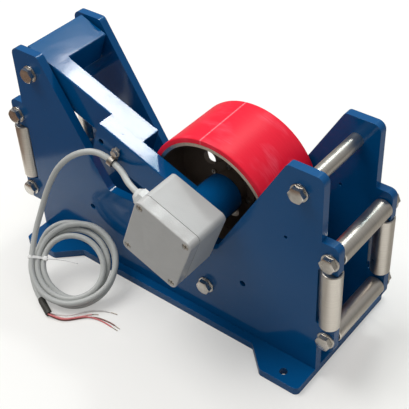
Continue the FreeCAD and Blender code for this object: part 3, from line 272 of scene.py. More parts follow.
zinc_plate = machined("Zinc plated steel", (0.80, 0.76, 0.70), (0.52, 0.49, 0.45), (1, 1, 1),
                      line_scale=300.0, gloss=0.26, depth=0.00001, stain=0.6)
bright_steel = machined("Bright turned steel", (0.66, 0.65, 0.63), (0.48, 0.47, 0.46), (0, 1, 0),
                        line_scale=1400.0, gloss=0.22, depth=0.000008, stain=0.3)
dress(zinc_plate, "base_screws")
dress(bright_steel, "side_pins")


# ---- Axle bolts, washers and nuts
# Seven M10 hexagon bolts run right through both side plates, each with a flat washer under its
# head and another under a nylon insert nut on the far side.

def growing(name, **sizes):
    """An empty geometry tree with named inputs for its sizes and its finish."""
    tree = bpy.data.node_groups.new(name, "GeometryNodeTree")
    face = tree.interface
    face.new_socket("Places", in_out="INPUT", socket_type="NodeSocketGeometry")
    for label, value in sizes.items():
        kind = "NodeSocketVector" if isinstance(value, tuple) else "NodeSocketFloat"
        socket = face.new_socket(label, in_out="INPUT", socket_type=kind)
        socket.default_value = value
    face.new_socket("Finish", in_out="INPUT", socket_type="NodeSocketMaterial")
    face.new_socket("Piece", in_out="OUTPUT", socket_type="NodeSocketGeometry")
    return tree, put(tree, "NodeGroupInput").outputs


def stand_on_places(tree, get, shape):
    """The last steps of a tree: one copy on each place, turned, made real, given its finish."""
    placed = put(tree, "GeometryNodeInstanceOnPoints", {
        "Points": get["Places"], "Instance": shape, "Rotation": get["Turn"]})
    real = put(tree, "GeometryNodeRealizeInstances", {"Geometry": placed.outputs[0]})
    coloured = put(tree, "GeometryNodeSetMaterial", {"Geometry": real.outputs[0],
                                                     "Material": get["Finish"]})
    put(tree, "NodeGroupOutput", {"Piece": coloured.outputs[0]})


def grow(name, tree, places, **values):
    """Runs a tree on a list of places and returns one plain mesh piece."""
    piece = new_piece(name, places, [])
    run = piece.modifiers.new("Grow", "NODES")
    run.node_group = tree
    for item in tree.interface.items_tree:
        if item.in_out == "INPUT" and item.name in values:
            run[item.identifier] = values[item.name]
    return plain_mesh(piece)


def shifted(tree, shape, up):
    """The shape moved up along z."""
    lift = put(tree, "ShaderNodeCombineXYZ", {2: up}).outputs[0]
    return put(tree, "GeometryNodeTransform", {"Geometry": shape, "Translation": lift}).outputs[0]


def hexagon_shape(tree, flats, height, chamfer=0.95, slope=0.55):
    """A hexagon head with its corners chamfered by a cone, standing on z = 0."""
    blank = put(tree, "GeometryNodeMeshCylinder", {
        "Vertices": 72, "Side Segments": 1, "Fill Segments": 2, "Radius": 1.0, "Depth": 1.0},
        fill_type="TRIANGLE_FAN")
    spot = put(tree, "GeometryNodeInputPosition").outputs[0]
    xyz = put(tree, "ShaderNodeSeparateXYZ", {0: spot}).outputs
    squares = [maths(tree, "POWER", xyz[k], 2.0) for k in (0, 1)]
    reach = maths(tree, "POWER", maths(tree, "ADD", *squares), 0.5)
    angle = maths(tree, "ARCTAN2", xyz[1], xyz[0])
    sector = maths(tree, "SUBTRACT", maths(tree, "FLOORED_MODULO", angle, math.pi / 3), math.pi / 6)
    half = maths(tree, "MULTIPLY", flats, 0.5)
    edge = maths(tree, "DIVIDE", half, maths(tree, "COSINE", sector))
    flat_top = maths(tree, "MULTIPLY", half, chamfer)
    outer = maths(tree, "GREATER_THAN", reach, 0.75)
    middle = maths(tree, "MULTIPLY", maths(tree, "GREATER_THAN", reach, 0.25),
                   maths(tree, "LESS_THAN", reach, 0.75))
    radius = maths(tree, "ADD", maths(tree, "MULTIPLY", edge, outer),
                   maths(tree, "MULTIPLY", flat_top, middle))
    corner = maths(tree, "MULTIPLY", maths(tree, "SUBTRACT", edge, flat_top), outer)
    fall = maths(tree, "MULTIPLY", corner, slope)
    level = maths(tree, "MULTIPLY", maths(tree, "SUBTRACT", height, fall),
                  maths(tree, "GREATER_THAN", xyz[2], 0.0))
    moved = put(tree, "ShaderNodeCombineXYZ", {
        0: maths(tree, "MULTIPLY", radius, maths(tree, "COSINE", angle)),
        1: maths(tree, "MULTIPLY", radius, maths(tree, "SINE", angle)), 2: level})
    return put(tree, "GeometryNodeSetPosition", {"Geometry": blank.outputs[0],
                                                 "Position": moved.outputs[0]}).outputs[0]


def ring_shape(tree, outer, inner, thick, edge):
    """A flat ring round the z axis with softened edges, standing on z = 0."""
    mean = maths(tree, "MULTIPLY", maths(tree, "ADD", outer, inner), 0.25)
    wide = maths(tree, "MULTIPLY", maths(tree, "SUBTRACT", outer, inner), 0.5)
    around = put(tree, "GeometryNodeCurvePrimitiveCircle", {"Resolution": 64, "Radius": mean})
    section = put(tree, "GeometryNodeCurvePrimitiveQuadrilateral", {"Width": wide, "Height": thick})
    soft = put(tree, "GeometryNodeFilletCurve", {
        "Curve": section.outputs[0], "Radius": edge, "Count": 2}, mode="POLY")
    swept = put(tree, "GeometryNodeCurveToMesh", {
        "Curve": around.outputs[0], "Profile Curve": soft.outputs[0]})
    return shifted(tree, swept.outputs[0], maths(tree, "MULTIPLY", thick, 0.5))


def rod_shape(tree, diameter, bottom, top):
    """A round rod from bottom to top along z."""
    long = maths(tree, "SUBTRACT", top, bottom)
    rod = put(tree, "GeometryNodeMeshCylinder", {
        "Vertices": 40, "Radius": maths(tree, "MULTIPLY", diameter, 0.5), "Depth": long})
    return shifted(tree, rod.outputs[0],
                   maths(tree, "ADD", bottom, maths(tree, "MULTIPLY", long, 0.5)))


def thread_shape(tree, diameter, start, end, pitch):
    """A V thread: a three-sided wire wound on the rod."""
    long = maths(tree, "SUBTRACT", end, start)
    radius = maths(tree, "MULTIPLY", diameter, 0.5)
    wound = put(tree, "GeometryNodeCurveSpiral", {
        "Resolution": 28, "Rotations": maths(tree, "DIVIDE", long, pitch), "Start Radius": radius,
        "End Radius": radius, "Height": long})
    vee = put(tree, "GeometryNodeCurvePrimitiveCircle", {
        "Resolution": 3, "Radius": maths(tree, "MULTIPLY", pitch, 0.48)})
    swept = put(tree, "GeometryNodeCurveToMesh", {
        "Curve": wound.outputs[0], "Profile Curve": vee.outputs[0], "Fill Caps": True})
    return shifted(tree, swept.outputs[0], start)


def together(tree, *shapes):
    """The shapes as one."""
    join = put(tree, "GeometryNodeJoinGeometry")
    for shape in shapes:
        tree.links.new(shape, join.inputs[0])
    return join.outputs[0]


AS_BUILT = (0.0, 0.0, 0.0)
TO_FRONT = (math.radians(90), 0.0, 0.0)
TO_BACK = (math.radians(-90), 0.0, 0.0)

bolt_tree, get = growing("Hexagon bolt", Flats=0.016, Head=0.0064, Diameter=0.010, Length=0.125,
                         Thread=0.020, Pitch=0.0015, Point=0.001, Turn=AS_BUILT)
below = maths(bolt_tree, "MULTIPLY", get["Length"], -1.0)
core = maths(bolt_tree, "SUBTRACT", get["Diameter"], maths(bolt_tree, "MULTIPLY", get["Pitch"], 0.9))
tip_start = maths(bolt_tree, "ADD", below, get["Thread"])
first_turn = maths(bolt_tree, "ADD", below, get["Point"])
stand_on_places(bolt_tree, get, together(
    bolt_tree, hexagon_shape(bolt_tree, get["Flats"], get["Head"]),
    rod_shape(bolt_tree, get["Diameter"], tip_start, 0.0), rod_shape(bolt_tree, core, below, tip_start),
    thread_shape(bolt_tree, core, first_turn, tip_start, get["Pitch"])))

washer_tree, get = growing("Flat washer", Outer=0.020, Inner=0.0105, Thick=0.002, Edge=0.0003,
                           Turn=AS_BUILT)
stand_on_places(washer_tree, get, ring_shape(washer_tree, get["Outer"], get["Inner"], get["Thick"],
                                             get["Edge"]))

nut_tree, get = growing("Insert nut", Flats=0.016, Height=0.0064, Collar=0.0135, Lip=0.002,
                        Edge=0.0006, Sunk=0.0004, Turn=AS_BUILT)
collar = ring_shape(nut_tree, get["Collar"], maths(nut_tree, "MULTIPLY", get["Collar"], 0.76),
                    get["Lip"], get["Edge"])
stand_on_places(nut_tree, get, together(
    nut_tree, hexagon_shape(nut_tree, get["Flats"], get["Height"]),
    shifted(nut_tree, collar, maths(nut_tree, "SUBTRACT", get["Height"], get["Sunk"]))))

# How far the plates' and the washers' outer faces lie from the middle. The back washers are turned
# to the front as well, so they start at their outer face.
plate_face = 0.055
washer_face = 0.057
axle_spots = [(x, z) for x in (-0.217, 0.217) for z in (0.065, 0.175)]
axle_spots += [(-0.180, 0.244), (0.180, 0.244), (0.059995, 0.0536)]
bolts = grow("axle_bolt_set", bolt_tree, [(x, -washer_face, z) for x, z in axle_spots],
             Turn=TO_FRONT, Finish=zinc_plate)
washers = grow("axle_washer_set", washer_tree, [(x, -plate_face, z) for x, z in axle_spots]
               + [(x, washer_face, z) for x, z in axle_spots], Turn=TO_FRONT, Finish=zinc_plate)
nuts = grow("axle_nut_set", nut_tree, [(x, washer_face, z) for x, z in axle_spots],
            Turn=TO_BACK, Finish=zinc_plate)
fit(bolts, "frame", "zinc_steel", None, "axle_bolts")
fit(washers, "frame", "zinc_steel", None, "axle_washers")
fit(nuts, "frame", "zinc_steel", None, "axle_nuts")


# ---- Fairlead rollers
# Stainless rollers, four round each mouth: two of tube lie across it on nylon bushes, and two turned
# from bar stand upright on their pins. The support roller below the wheel and the guide tube
# between the right horns are stainless tube too.

def stainless(name, lines_along):
    """Stainless steel, turned round the given axis."""
    return machined(name, (0.78, 0.73, 0.66), (0.60, 0.555, 0.50), lines_along, line_scale=700.0,
                    gloss=0.32, depth=0.0000004, stain=0.2)


stainless_across = stainless("Stainless, turned across", (0, 1, 0))
stainless_upright = stainless("Stainless, turned upright", (0, 0, 1))
black_nylon, tree, shader = new_finish("Black nylon", Roughness=0.42)
where = put(tree, "ShaderNodeTexCoord").outputs["Object"]
grain = clouds(tree, where, 700.0, 3.0)
shade = mixed(tree, grain, (0.012, 0.012, 0.013, 1), (0.035, 0.035, 0.036, 1))
tree.links.new(shade, shader.inputs["Base Color"])
tree.links.new(raised(tree, grain, 0.00003), shader.inputs["Normal"])

for end in ("left", "right"):
    for place in ("bottom", "top", "front", "back"):
        name = end + "_" + place
        across = place in ("bottom", "top")
        roller = eased(name + ("_tube" if across else "_bar"), "roller_" + name, width=0.0003)
        fit(roller, name + "_roller", "stainless",
            stainless_across if across else stainless_upright, "roller_" + name)
        if across:
            dress(black_nylon, "bushes_" + name)
fit(eased("support_tube", "support_roller", width=0.0004), "support_roller", "stainless",
    stainless_across, "support_roller")
dress(black_nylon, "support_bushes")
dress(stainless_across, "guide_tube")


# ---- Arm
# Square and flat steel tube welded together: a crosspiece on the pivot axle, an inner bar and an
# outer bar that lap side by side, with end caps. The welds on top are ground flush, then painted.

for name, node in (("crosspiece", "arm_crosspiece"), ("inner_bar", "arm_inner_bar"),
                   ("outer_bar", "arm_outer_bar"), ("crosspiece_ends", "arm_cross_ends"),
                   ("bar_caps", "arm_end_caps")):
    fit(eased(name, node, width=0.0004), "arm", "blue_paint", blue_gloss, node)

REST_TURN = math.radians(20.804)
PIVOT_X, PIVOT_Z = -180, 244


def on_arm(x, y, z):
    """A point given along and above the arm, where it rests; millimetres in, metres out."""
    return Vector((PIVOT_X + x * math.cos(REST_TURN) + z * math.sin(REST_TURN), y,
                   PIVOT_Z - x * math.sin(REST_TURN) + z * math.cos(REST_TURN))) / 1000


def outward(piece):
    """Turns the faces of a closed piece to its outside."""
    work = bmesh.new()
    work.from_mesh(piece.data)
    bmesh.ops.recalc_face_normals(work, faces=work.faces)
    work.to_mesh(piece.data)
    work.free()
    return piece


weld_half = 1.3
weld_foot, weld_top = 19.7, 20.012
weld_runs = (((108.4, -42.5), (155.6, -42.5)), ((20, -42.1), (20, -17.9)),
             ((111, -62.1), (111, -42.9)), ((153, -42.1), (153, -17.9)))
verts, faces = [], []
for (x0, y0), (x1, y1) in weld_runs:
    wide = (0.0, weld_half) if y0 == y1 else (weld_half, 0.0)
    first = len(verts)
    for x, y in ((x0, y0), (x1, y1)):
        for side, high in ((-1, weld_foot), (-1, weld_top), (1, weld_top), (1, weld_foot)):
            verts.append(on_arm(x + side * wide[0], y + side * wide[1], high))
    faces += [[first + k, first + (k + 1) % 4, first + 4 + (k + 1) % 4, first + 4 + k]
              for k in range(4)]
    faces += [[first + k for k in range(4)], [first + 4 + k for k in reversed(range(4))]]
welds = outward(new_piece("ground_welds", verts, faces))
fit(plain_mesh(welds), "arm", "blue_paint", blue_gloss)

bronze = machined("Sintered bronze", (0.58, 0.40, 0.20), (0.42, 0.28, 0.13), (0, 1, 0),
                  line_scale=1200.0, gloss=0.35, depth=0.00001, stain=0.5)
dress(bronze, "pivot_bushes")


# ---- Bearing housing
# A turned steel sleeve welded through the outer bar, bored for two ball bearings and painted. The
# bearing rings and the spacer between them are bright steel.

fit(eased("housing", "bearing_housing", width=0.0005), "arm", "blue_paint", blue_gloss,
    "bearing_housing")
dress(bright_steel, "bearing_outer_rings", "bearing_inner_rings", "bearing_spacer")


# ---- Measuring wheel
# A turned iron wheel whose red polyurethane tyre is cast on in one pour, which leaves a seam across
# the tread. It's keyed to a bright steel shaft, which a coupling joins to the encoder's, and held by
# a screw and washer; six small screws hold its hub plate.

WHEEL_MIDDLE = on_arm(253.656, 0, 8.1)


def turned_ring(name, profile, segments):
    """A closed section (radius, y) turned about the wheel's axis; its UVs run round and across."""
    verts, faces, marks = [], [], []
    count = len(profile)
    for i in range(segments):
        a = 2 * math.pi * i / segments
        for radius, y in profile:
            verts.append(WHEEL_MIDDLE + Vector((radius * math.cos(a), y, radius * math.sin(a))))
    for i in range(segments):
        here, there = i / segments, (i + 1) / segments
        for k in range(count):
            n = (k + 1) % count
            j = (i + 1) % segments
            faces.append((i * count + k, i * count + n, j * count + n, j * count + k))
            y0, y1 = profile[k][1], profile[n][1]
            marks.append([(here, y0), (here, y1), (there, y1), (there, y0)])
    piece = new_piece(name, verts, faces)
    flat = piece.data.uv_layers.new(name="round_and_across")
    for face, corners in zip(piece.data.polygons, marks):
        for loop, corner in zip(face.loop_indices, corners):
            flat.data[loop].uv = corner
    return plain_mesh(outward(piece))


dark_casting = coated("Dark casting", (0.200, 0.148, 0.112), (0.110, 0.080, 0.060), drift=1.0,
                      peel_scale=260.0, peel_depth=0.0002, gloss=0.42, Specular_IOR_Level=0.35)
bare_edge = machined("Bare turned edge", (0.75, 0.64, 0.52), (0.52, 0.43, 0.34), (1, 1, 1),
                     line_scale=500.0, gloss=0.34, depth=0.00001, stain=0.5)
wheel_body = fit(eased("wheel_body", "wheel_rim", width=0.0005), "wheel", "dark_steel",
                 dark_casting, "wheel_rim")
wheel_body.data.materials.append(bare_edge)
barrel_end, barrel_inside = 0.0408, 0.069
for face in wheel_body.data.polygons:
    off = [wheel_body.data.vertices[i].co - WHEEL_MIDDLE for i in face.vertices]
    if all(abs(v.y) > barrel_end and math.hypot(v.x, v.z) > barrel_inside for v in off):
        face.material_index = 1

# The tyre's red is a little streaky round the wheel, rubbed pale in patches, and the seam across it
# leans.
# The seam is raised a little in the bump, and its pale line is a painted highlight. Places on it are in
# turns round the wheel and in metres across.
seam_at, seam_lean = 0.2716, 0.0637
red_tyre, tree, shader = new_finish("Red polyurethane", Specular_IOR_Level=0.2)
lay = put(tree, "ShaderNodeUVMap", uv_map="round_and_across").outputs[0]
uv = put(tree, "ShaderNodeSeparateXYZ", {0: lay}).outputs
round_half = maths(tree, "MULTIPLY", uv[0], 0.5)
half_turns = put(tree, "ShaderNodeCombineXYZ", {0: round_half, 1: uv[1]}).outputs[0]
streaks = clouds(tree, scaled(tree, half_turns, (44.0, 620.0, 1.0)), 1.0, 5.0, 0.62)
patches = clouds(tree, scaled(tree, half_turns, (22.0, 48.0, 1.0)), 1.0, 3.0, 0.55)
scuff = maths(tree, "MULTIPLY", ranged(tree, patches, 0.52, 0.74),
              ranged(tree, streaks, 0.38, 0.75, 0.15, 1.0))
from_seam = maths(tree, "SUBTRACT", maths(tree, "SUBTRACT", uv[0], seam_at),
                  maths(tree, "MULTIPLY", uv[1], seam_lean))
seam = ranged(tree, maths(tree, "ABSOLUTE", from_seam), 0.0006, 0.0026, 1.0, 0.0)
deep = mixed(tree, streaks, (0.84, 0.008, 0.030, 1), (0.96, 0.016, 0.052, 1))
pale = mixed(tree, scuff, deep, (0.94, 0.10, 0.16, 1))
# Painted highlight: the seam's pale pink line stands in for light caught along the raised seam.
seam_painted_highlight = maths(tree, "MULTIPLY", seam, ranged(tree, streaks, 0.35, 0.62, 0.18, 0.85))
whole = mixed(tree, seam_painted_highlight, pale, (0.95, 0.34, 0.40, 1))
tree.links.new(whole, shader.inputs["Base Color"])
tree.links.new(ranged(tree, scuff, 0.0, 1.0, 0.36, 0.52), shader.inputs["Roughness"])
lumps = maths(tree, "ADD", streaks, seam)
tree.links.new(raised(tree, lumps, 0.00005), shader.inputs["Normal"])

tyre_edge = [(0.07408, -0.0415), (0.0782, -0.0415), (0.0790, -0.04125), (0.07943, -0.0407),
             (0.07958, -0.0400)]
tyre_section = tyre_edge + [(0.07958, -0.0400 + 0.01 * k) for k in range(1, 8)]
tyre_section += [(r, -y) for r, y in reversed(tyre_edge)]
fit(turned_ring("tyre", tyre_section, 160), "wheel", "red_polyurethane", red_tyre, "wheel_tread")
dress(bright_steel, "wheel_shaft", "wheel_key", "wheel_washer", "shaft_coupling", "encoder_shaft")
dress(zinc_plate, "wheel_screw")

small_tree, get = growing("Socket screw", Head=0.0055, Height=0.003, Key=0.0025, Deep=0.0012,
                          Edge=0.0003, Turn=AS_BUILT)
stand_on_places(small_tree, get, together(
    small_tree, ring_shape(small_tree, get["Head"], get["Key"], get["Height"], get["Edge"]),
    rod_shape(small_tree, get["Key"], 0.0, get["Deep"])))
screw_circle, web_face = 0.025, -0.003
hub_spots = [WHEEL_MIDDLE + Vector((screw_circle * math.cos(math.radians(a)), web_face,
                                    screw_circle * math.sin(math.radians(a))))
             for a in range(-84, 276, 60)]
hub_screws = grow("hub_screws", small_tree, hub_spots, Turn=TO_FRONT, Finish=zinc_plate)
fit(hub_screws, "wheel", "zinc_steel", None)


# ---- Encoder box
# A die cast aluminium box in grey enamel, its lid held by four screws over a seal of grey foam
# rubber. It holds the encoder on a steel bracket and a terminal block, and the cable leaves it
# through a light grey nylon gland.

box_enamel = coated("Grey box enamel", (0.56, 0.565, 0.56), (0.50, 0.505, 0.50), drift=0.6,
                    peel_scale=1100.0, peel_depth=0.00008, gloss=0.40)
lid_enamel = coated("Grey lid enamel", (0.56, 0.555, 0.545), (0.50, 0.495, 0.485), drift=0.6,
                    peel_scale=900.0, peel_depth=0.00016, gloss=0.18)
grey_seal = coated("Grey foam seal", (0.22, 0.22, 0.21), (0.15, 0.15, 0.145), drift=0.6,
                   peel_scale=1500.0, peel_depth=0.00005, gloss=0.7)
grey_nylon = coated("Light grey nylon", (0.70, 0.71, 0.70), (0.62, 0.63, 0.62), drift=0.5,
                    peel_scale=700.0, peel_depth=0.00004, gloss=0.30)
green_plastic = coated("Green terminal plastic", (0.02, 0.16, 0.06), (0.015, 0.12, 0.05),
                       drift=0.5, peel_scale=900.0, peel_depth=0.00003, gloss=0.4)
fit(eased("box_shell", "box_body", width=0.0006), "arm", "box_grey", box_enamel, "box_body")
fit(eased("box_cover", "box_lid", width=0.0004), "arm", "box_grey", lid_enamel, "box_lid")
fit(eased("gland_body", "cable_gland", width=0.0007, steps=3), "arm", "light_grey_plastic",
    grey_nylon, "cable_gland")
fit(eased("gland_cap", "gland_nut", width=0.0012, steps=3), "arm", "light_grey_plastic",
    grey_nylon, "gland_nut")
dress(grey_seal, "box_gasket")
dress(bright_steel, "encoder_bracket")
dress(black_nylon, "encoder_body")
dress(green_plastic, "terminal_block")
dress(zinc_plate, "lid_screws", "small_screws")


# ---- Cable clip
# A stainless band lined with black rubber, which holds the cable on the side of the outer bar with
# one zinc plated screw. The rubber is as dull and black as the rollers' nylon bushes.

dress(stainless_across, "clip_band")
dress(black_nylon, "clip_liner")
dress(zinc_plate, "clip_screw")


# ---- Cable
# A 7 mm screened cable in light grey PVC. It leaves the box through the gland, passes the clip on
# the arm, hangs in a slack loop and is coiled by the frame; its stripped end is sleeved.

COIL_MIDDLE = Vector((-101.0, -107.6, 39.3))
COIL_UP = Vector((0.321, -0.498, 0.806)).normalized()
COIL_ALONG = (Vector((-1, 0, 0)) - COIL_UP * COIL_UP.dot(Vector((-1, 0, 0)))).normalized()
COIL_ACROSS = COIL_UP.cross(COIL_ALONG)


def coil_spot(radius, degrees, height):
    """A place in the leaning coil; millimetres and degrees in, metres out."""
    a = math.radians(degrees)
    return (COIL_MIDDLE + COIL_ALONG * radius * math.cos(a) + COIL_ACROSS * radius * math.sin(a)
            + COIL_UP * height) / 1000


# Angle in degrees, radius and height in millimetres of the strand, from the lead to the tail. The
# first turn lies outside and on top, the next two fill the middle and the last runs underneath.
coil_stations = [
    (24, 49.3, 4.4), (46, 49.9, 4.8), (69, 51.0, 4.4), (91, 51.8, 4.6), (114, 51.7, 5.4),
    (136, 51.3, 5.6), (159, 52.2, 5.0), (181, 53.2, 4.3), (204, 53.6, 4.0), (226, 52.8, 4.0),
    (249, 50.6, 4.0), (271, 48.6, 4.0), (294, 45.8, 4.2), (316, 43.9, 4.2), (339, 42.8, 3.8),
    (361, 42.2, 3.2),
    (384, 42.6, 2.0), (406, 43.4, 1.8), (429, 44.4, 1.2), (451, 45.0, 0.6), (474, 45.7, 1.9),
    (496, 45.2, 2.2), (519, 44.6, 2.4), (541, 42.2, 2.8), (564, 38.4, 3.0), (586, 34.4, 2.6),
    (609, 31.8, 2.0), (631, 30.8, 1.6), (654, 31.0, 1.4), (676, 32.4, 1.2), (699, 34.0, 1.0),
    (721, 35.3, 0.5),
    (744, 36.0, 0.0), (766, 36.6, -0.4), (789, 37.8, -1.8), (811, 40.0, -4.1), (834, 43.6, -4.7),
    (856, 44.9, -4.8), (879, 44.4, -4.6), (901, 43.3, -4.4), (924, 42.4, -4.0), (946, 41.2, -3.2),
    (969, 40.2, -2.8), (991, 40.0, -2.8), (1014, 40.2, -3.0), (1036, 41.0, -3.4),
    (1059, 41.6, -4.0), (1081, 41.8, -4.5),
    (1104, 42.1, -5.0), (1126, 43.6, -5.2), (1149, 46.8, -5.5), (1171, 50.4, -5.2),
    (1194, 52.8, -5.0), (1216, 53.6, -4.8), (1239, 53.5, -4.5), (1261, 52.6, -4.3),
    (1284, 51.2, -4.2), (1306, 49.6, -4.0), (1329, 48.0, -4.0), (1351, 47.4, -4.0),
    (1374, 47.7, -4.0), (1396, 50.3, -3.8), (1412, 51.0, -4.6)]
lead_route = [on_arm(222.16, -91, 7), on_arm(183.5, -91, 7), on_arm(154.4, -68.5, -9.5),
              on_arm(122.0, -68.5, -9.5)]
lead_route += [Vector(p) / 1000 for p in (
    (-94.5, -77, 185.5), (-121.5, -84, 161.5), (-141, -90, 126), (-149.5, -103, 88),
    (-149.6, -116, 67))]
tail_route = [Vector(p) / 1000 for p in (
    (-150.5, -103.5, 53), (-151, -131.5, 19.5), (-136, -143.6, 4.4), (-116, -152.6, 4.4))]
cable_route = lead_route + [coil_spot(r, a, h) for a, r, h in coil_stations] + tail_route


def centre_line(name, route, fineness):
    """Lays a smooth spline through the route and reads its points back."""
    curve = bpy.data.curves.new(name, "CURVE")
    curve.dimensions = "3D"
    curve.resolution_u = fineness
    spline = curve.splines.new("NURBS")
    spline.points.add(len(route) - 1)
    for spot, place in zip(spline.points, route):
        spot.co = (*place, 1.0)
    spline.order_u = 3
    spline.use_endpoint_u = True
    holder = bpy.data.objects.new(name, curve)
    bpy.context.scene.collection.objects.link(holder)
    bpy.context.view_layer.update()
    shown_now = holder.evaluated_get(bpy.context.evaluated_depsgraph_get())
    line = [v.co.copy() for v in bpy.data.meshes.new_from_object(shown_now).vertices]
    bpy.data.objects.remove(holder)
    return [p for i, p in enumerate(line) if i == 0 or (p - line[i - 1]).length > 1e-6]


def length_of(line):
    """The length of a centre line in metres."""
    return sum((b - a).length for a, b in zip(line, line[1:]))


def along_tube(name, line, radius_at, sides=14):
    """A closed tube on a centre line; radius_at gives its radius at each share of the way."""
    verts, faces = [], []
    normal = (line[1] - line[0]).orthogonal().normalized()
    for i, spot in enumerate(line):
        ahead = (line[min(i + 1, len(line) - 1)] - line[max(i - 1, 0)]).normalized()
        normal = (normal - ahead * normal.dot(ahead)).normalized()
        other = ahead.cross(normal)
        radius = radius_at(i / (len(line) - 1))
        for s in range(sides):
            a = 2 * math.pi * s / sides
            verts.append(spot + (normal * math.cos(a) + other * math.sin(a)) * radius)
    for i in range(len(line) - 1):
        for s in range(sides):
            t = (s + 1) % sides
            faces.append((i * sides + s, i * sides + t, (i + 1) * sides + t, (i + 1) * sides + s))
    faces.append(tuple(range(sides))[::-1])
    faces.append(tuple(range(len(verts) - sides, len(verts))))
    return plain_mesh(new_piece(name, verts, faces))


jacket_radius = 0.0035
jacket = coated("Light grey cable jacket", (0.56, 0.575, 0.56), (0.50, 0.515, 0.50), drift=0.6,
                peel_scale=800.0, peel_depth=0.00003, gloss=0.42)
cable_line = centre_line("cable_line", cable_route, 8)
cable = along_tube("cable", cable_line, lambda share: jacket_radius)
cable.data.materials.append(jacket)
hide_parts("cable_lead", "cable_coil")
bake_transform(cable)


# ---- Cable end
# Black heat-shrink sleeve over the cut jacket, and four tinned stranded conductors in thin coloured
# insulation, stripped back 7 mm at their ends.

sleeve_rubber = coated("Heat-shrink sleeve", (0.030, 0.030, 0.026), (0.065, 0.060, 0.050),
                       drift=1.0, peel_scale=420.0, peel_depth=0.0003, gloss=0.5)
sleeve_long, sleeve_thick, sleeve_steps = 0.0278, 0.00425, 24
sleeve_start = tail_route[-1]
sleeve_end = sleeve_start + (tail_route[-1] - tail_route[-2]).normalized() * sleeve_long
sleeve_line = [sleeve_start.lerp(sleeve_end, k / sleeve_steps) for k in range(sleeve_steps + 1)]


def sleeve_radius(share):
    """The sleeve has shrunk a little unevenly and is pinched in at both ends."""
    pinch = 0.0006 * max(0.0, 1 - min(share, 1 - share) / 0.07)
    ripple = 0.00012 * (1 + math.sin(23 * share)) / 2
    step_down = 0.0001 * (share > 0.45)
    return sleeve_thick - pinch - ripple - step_down


sleeve = along_tube("sleeve", sleeve_line, sleeve_radius, sides=24)
fit(sleeve, "frame", "heat_shrink", sleeve_rubber, "cable_sleeve")

tinned = machined("Tinned strands", (0.52, 0.45, 0.38), (0.30, 0.25, 0.20), (1, 1, 1),
                  line_scale=2400.0, gloss=0.35, depth=0.00004, stain=0.3)
wire_colours = {
    "white": ((0.84, 0.82, 0.80), (0.74, 0.70, 0.68)),
    "pink": ((0.78, 0.20, 0.21), (0.66, 0.13, 0.14)),
    "rose": ((0.86, 0.50, 0.48), (0.78, 0.36, 0.35)),
    "brown": ((0.26, 0.10, 0.08), (0.16, 0.06, 0.045))}
wire_routes = {
    "white": [(-91.8, -162.6, 5.4), (-80.5, -159.0, 4.6), (-70.5, -152.0, 3.6),
              (-63.5, -141.0, 2.8), (-58.0, -132.0, 1.8), (-51.0, -125.0, 0.95),
              (-40.0, -118.0, 0.95), (-28.0, -115.5, 0.95)],
    "pink": [(-91.6, -165.0, 5.0), (-80.5, -163.0, 3.8), (-71.0, -159.0, 3.0),
             (-63.0, -150.0, 2.8), (-55.0, -141.0, 2.6), (-45.0, -135.6, 1.6),
             (-33.0, -133.4, 0.95), (-20.0, -133.6, 0.95), (-11.0, -134.0, 0.95)],
    "rose": [(-91.8, -162.2, 3.4), (-78.0, -160.0, 1.8), (-68.5, -153.0, 0.95),
             (-60.5, -143.5, 0.95), (-52.5, -132.5, 0.95), (-45.5, -128.5, 0.95)],
    "brown": [(-91.6, -164.8, 3.0), (-79.0, -162.6, 1.15), (-69.5, -157.6, 0.95),
              (-61.5, -148.6, 0.95), (-53.5, -139.0, 0.95), (-43.5, -132.8, 0.95),
              (-32.0, -130.4, 0.95), (-20.0, -129.6, 0.95), (-10.5, -130.6, 0.95)]}
stripped, insulation_radius, strand_radius = 0.007, 0.0009, 0.00055
for colour_name, spots in wire_routes.items():
    light, dark = wire_colours[colour_name]
    insulation = coated(colour_name.capitalize() + " insulation", light, dark, drift=0.7,
                        peel_scale=900.0, peel_depth=0.00002, gloss=0.34)
    wire_line = centre_line(colour_name + "_line", [Vector(p) / 1000 for p in spots], 10)
    long = length_of(wire_line)
    bare_from = 1 - stripped / long
    wire = along_tube(colour_name + "_wire", wire_line,
                      lambda share: insulation_radius if share < bare_from else strand_radius,
                      sides=10)
    wire.data.materials.append(insulation)
    wire.data.materials.append(tinned)
    for face in wire.data.polygons:
        if (face.center - wire_line[-1]).length < stripped:
            face.material_index = 1
    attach(wire, "frame")
    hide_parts("cable_conductors")


# ---- Cable tie
# A white nylon tie drawn tight round the four turns of the coil where the lead comes in. Its
# ratchet head sits inside the coil, and its long tail is left on.

nylon_white = coated("White nylon", (0.93, 0.93, 0.92), (0.88, 0.88, 0.87), drift=0.5,
                     peel_scale=900.0, peel_depth=0.00002, gloss=0.26)
tie_turn, tie_half_turn = 24.0, 2.2
band_radius, band_thick = 4.3, 1.0
strand_spots = [(49.3, 4.4), (42.6, 2.0), (36.0, 0.0), (42.1, -5.0)]
rim_spots = [Vector((r + band_radius * math.cos(math.radians(a)),
                     h + band_radius * math.sin(math.radians(a))))
             for r, h in strand_spots for a in range(0, 360, 15)]
band = [rim_spots[i] for i in convex_hull_2d(rim_spots)]
band_middle = sum(band, Vector((0, 0))) / len(band)
verts, faces = [], []
for out_by, degrees in ((0.0, tie_turn - tie_half_turn), (0.0, tie_turn + tie_half_turn),
                        (-band_thick, tie_turn + tie_half_turn),
                        (-band_thick, tie_turn - tie_half_turn)):
    for spot in band:
        moved = spot + (spot - band_middle).normalized() * out_by
        verts.append(coil_spot(moved.x, degrees, moved.y))
for ring in range(4):
    here, there = ring * len(band), (ring + 1) % 4 * len(band)
    for k in range(len(band)):
        n = (k + 1) % len(band)
        faces.append((here + k, here + n, there + n, there + k))
tie = outward(new_piece("tie_band", verts, faces))
soften = tie.modifiers.new("Soft edges", "BEVEL")
soften.width = 0.0003
soften.segments = 2
soften.limit_method = "ANGLE"
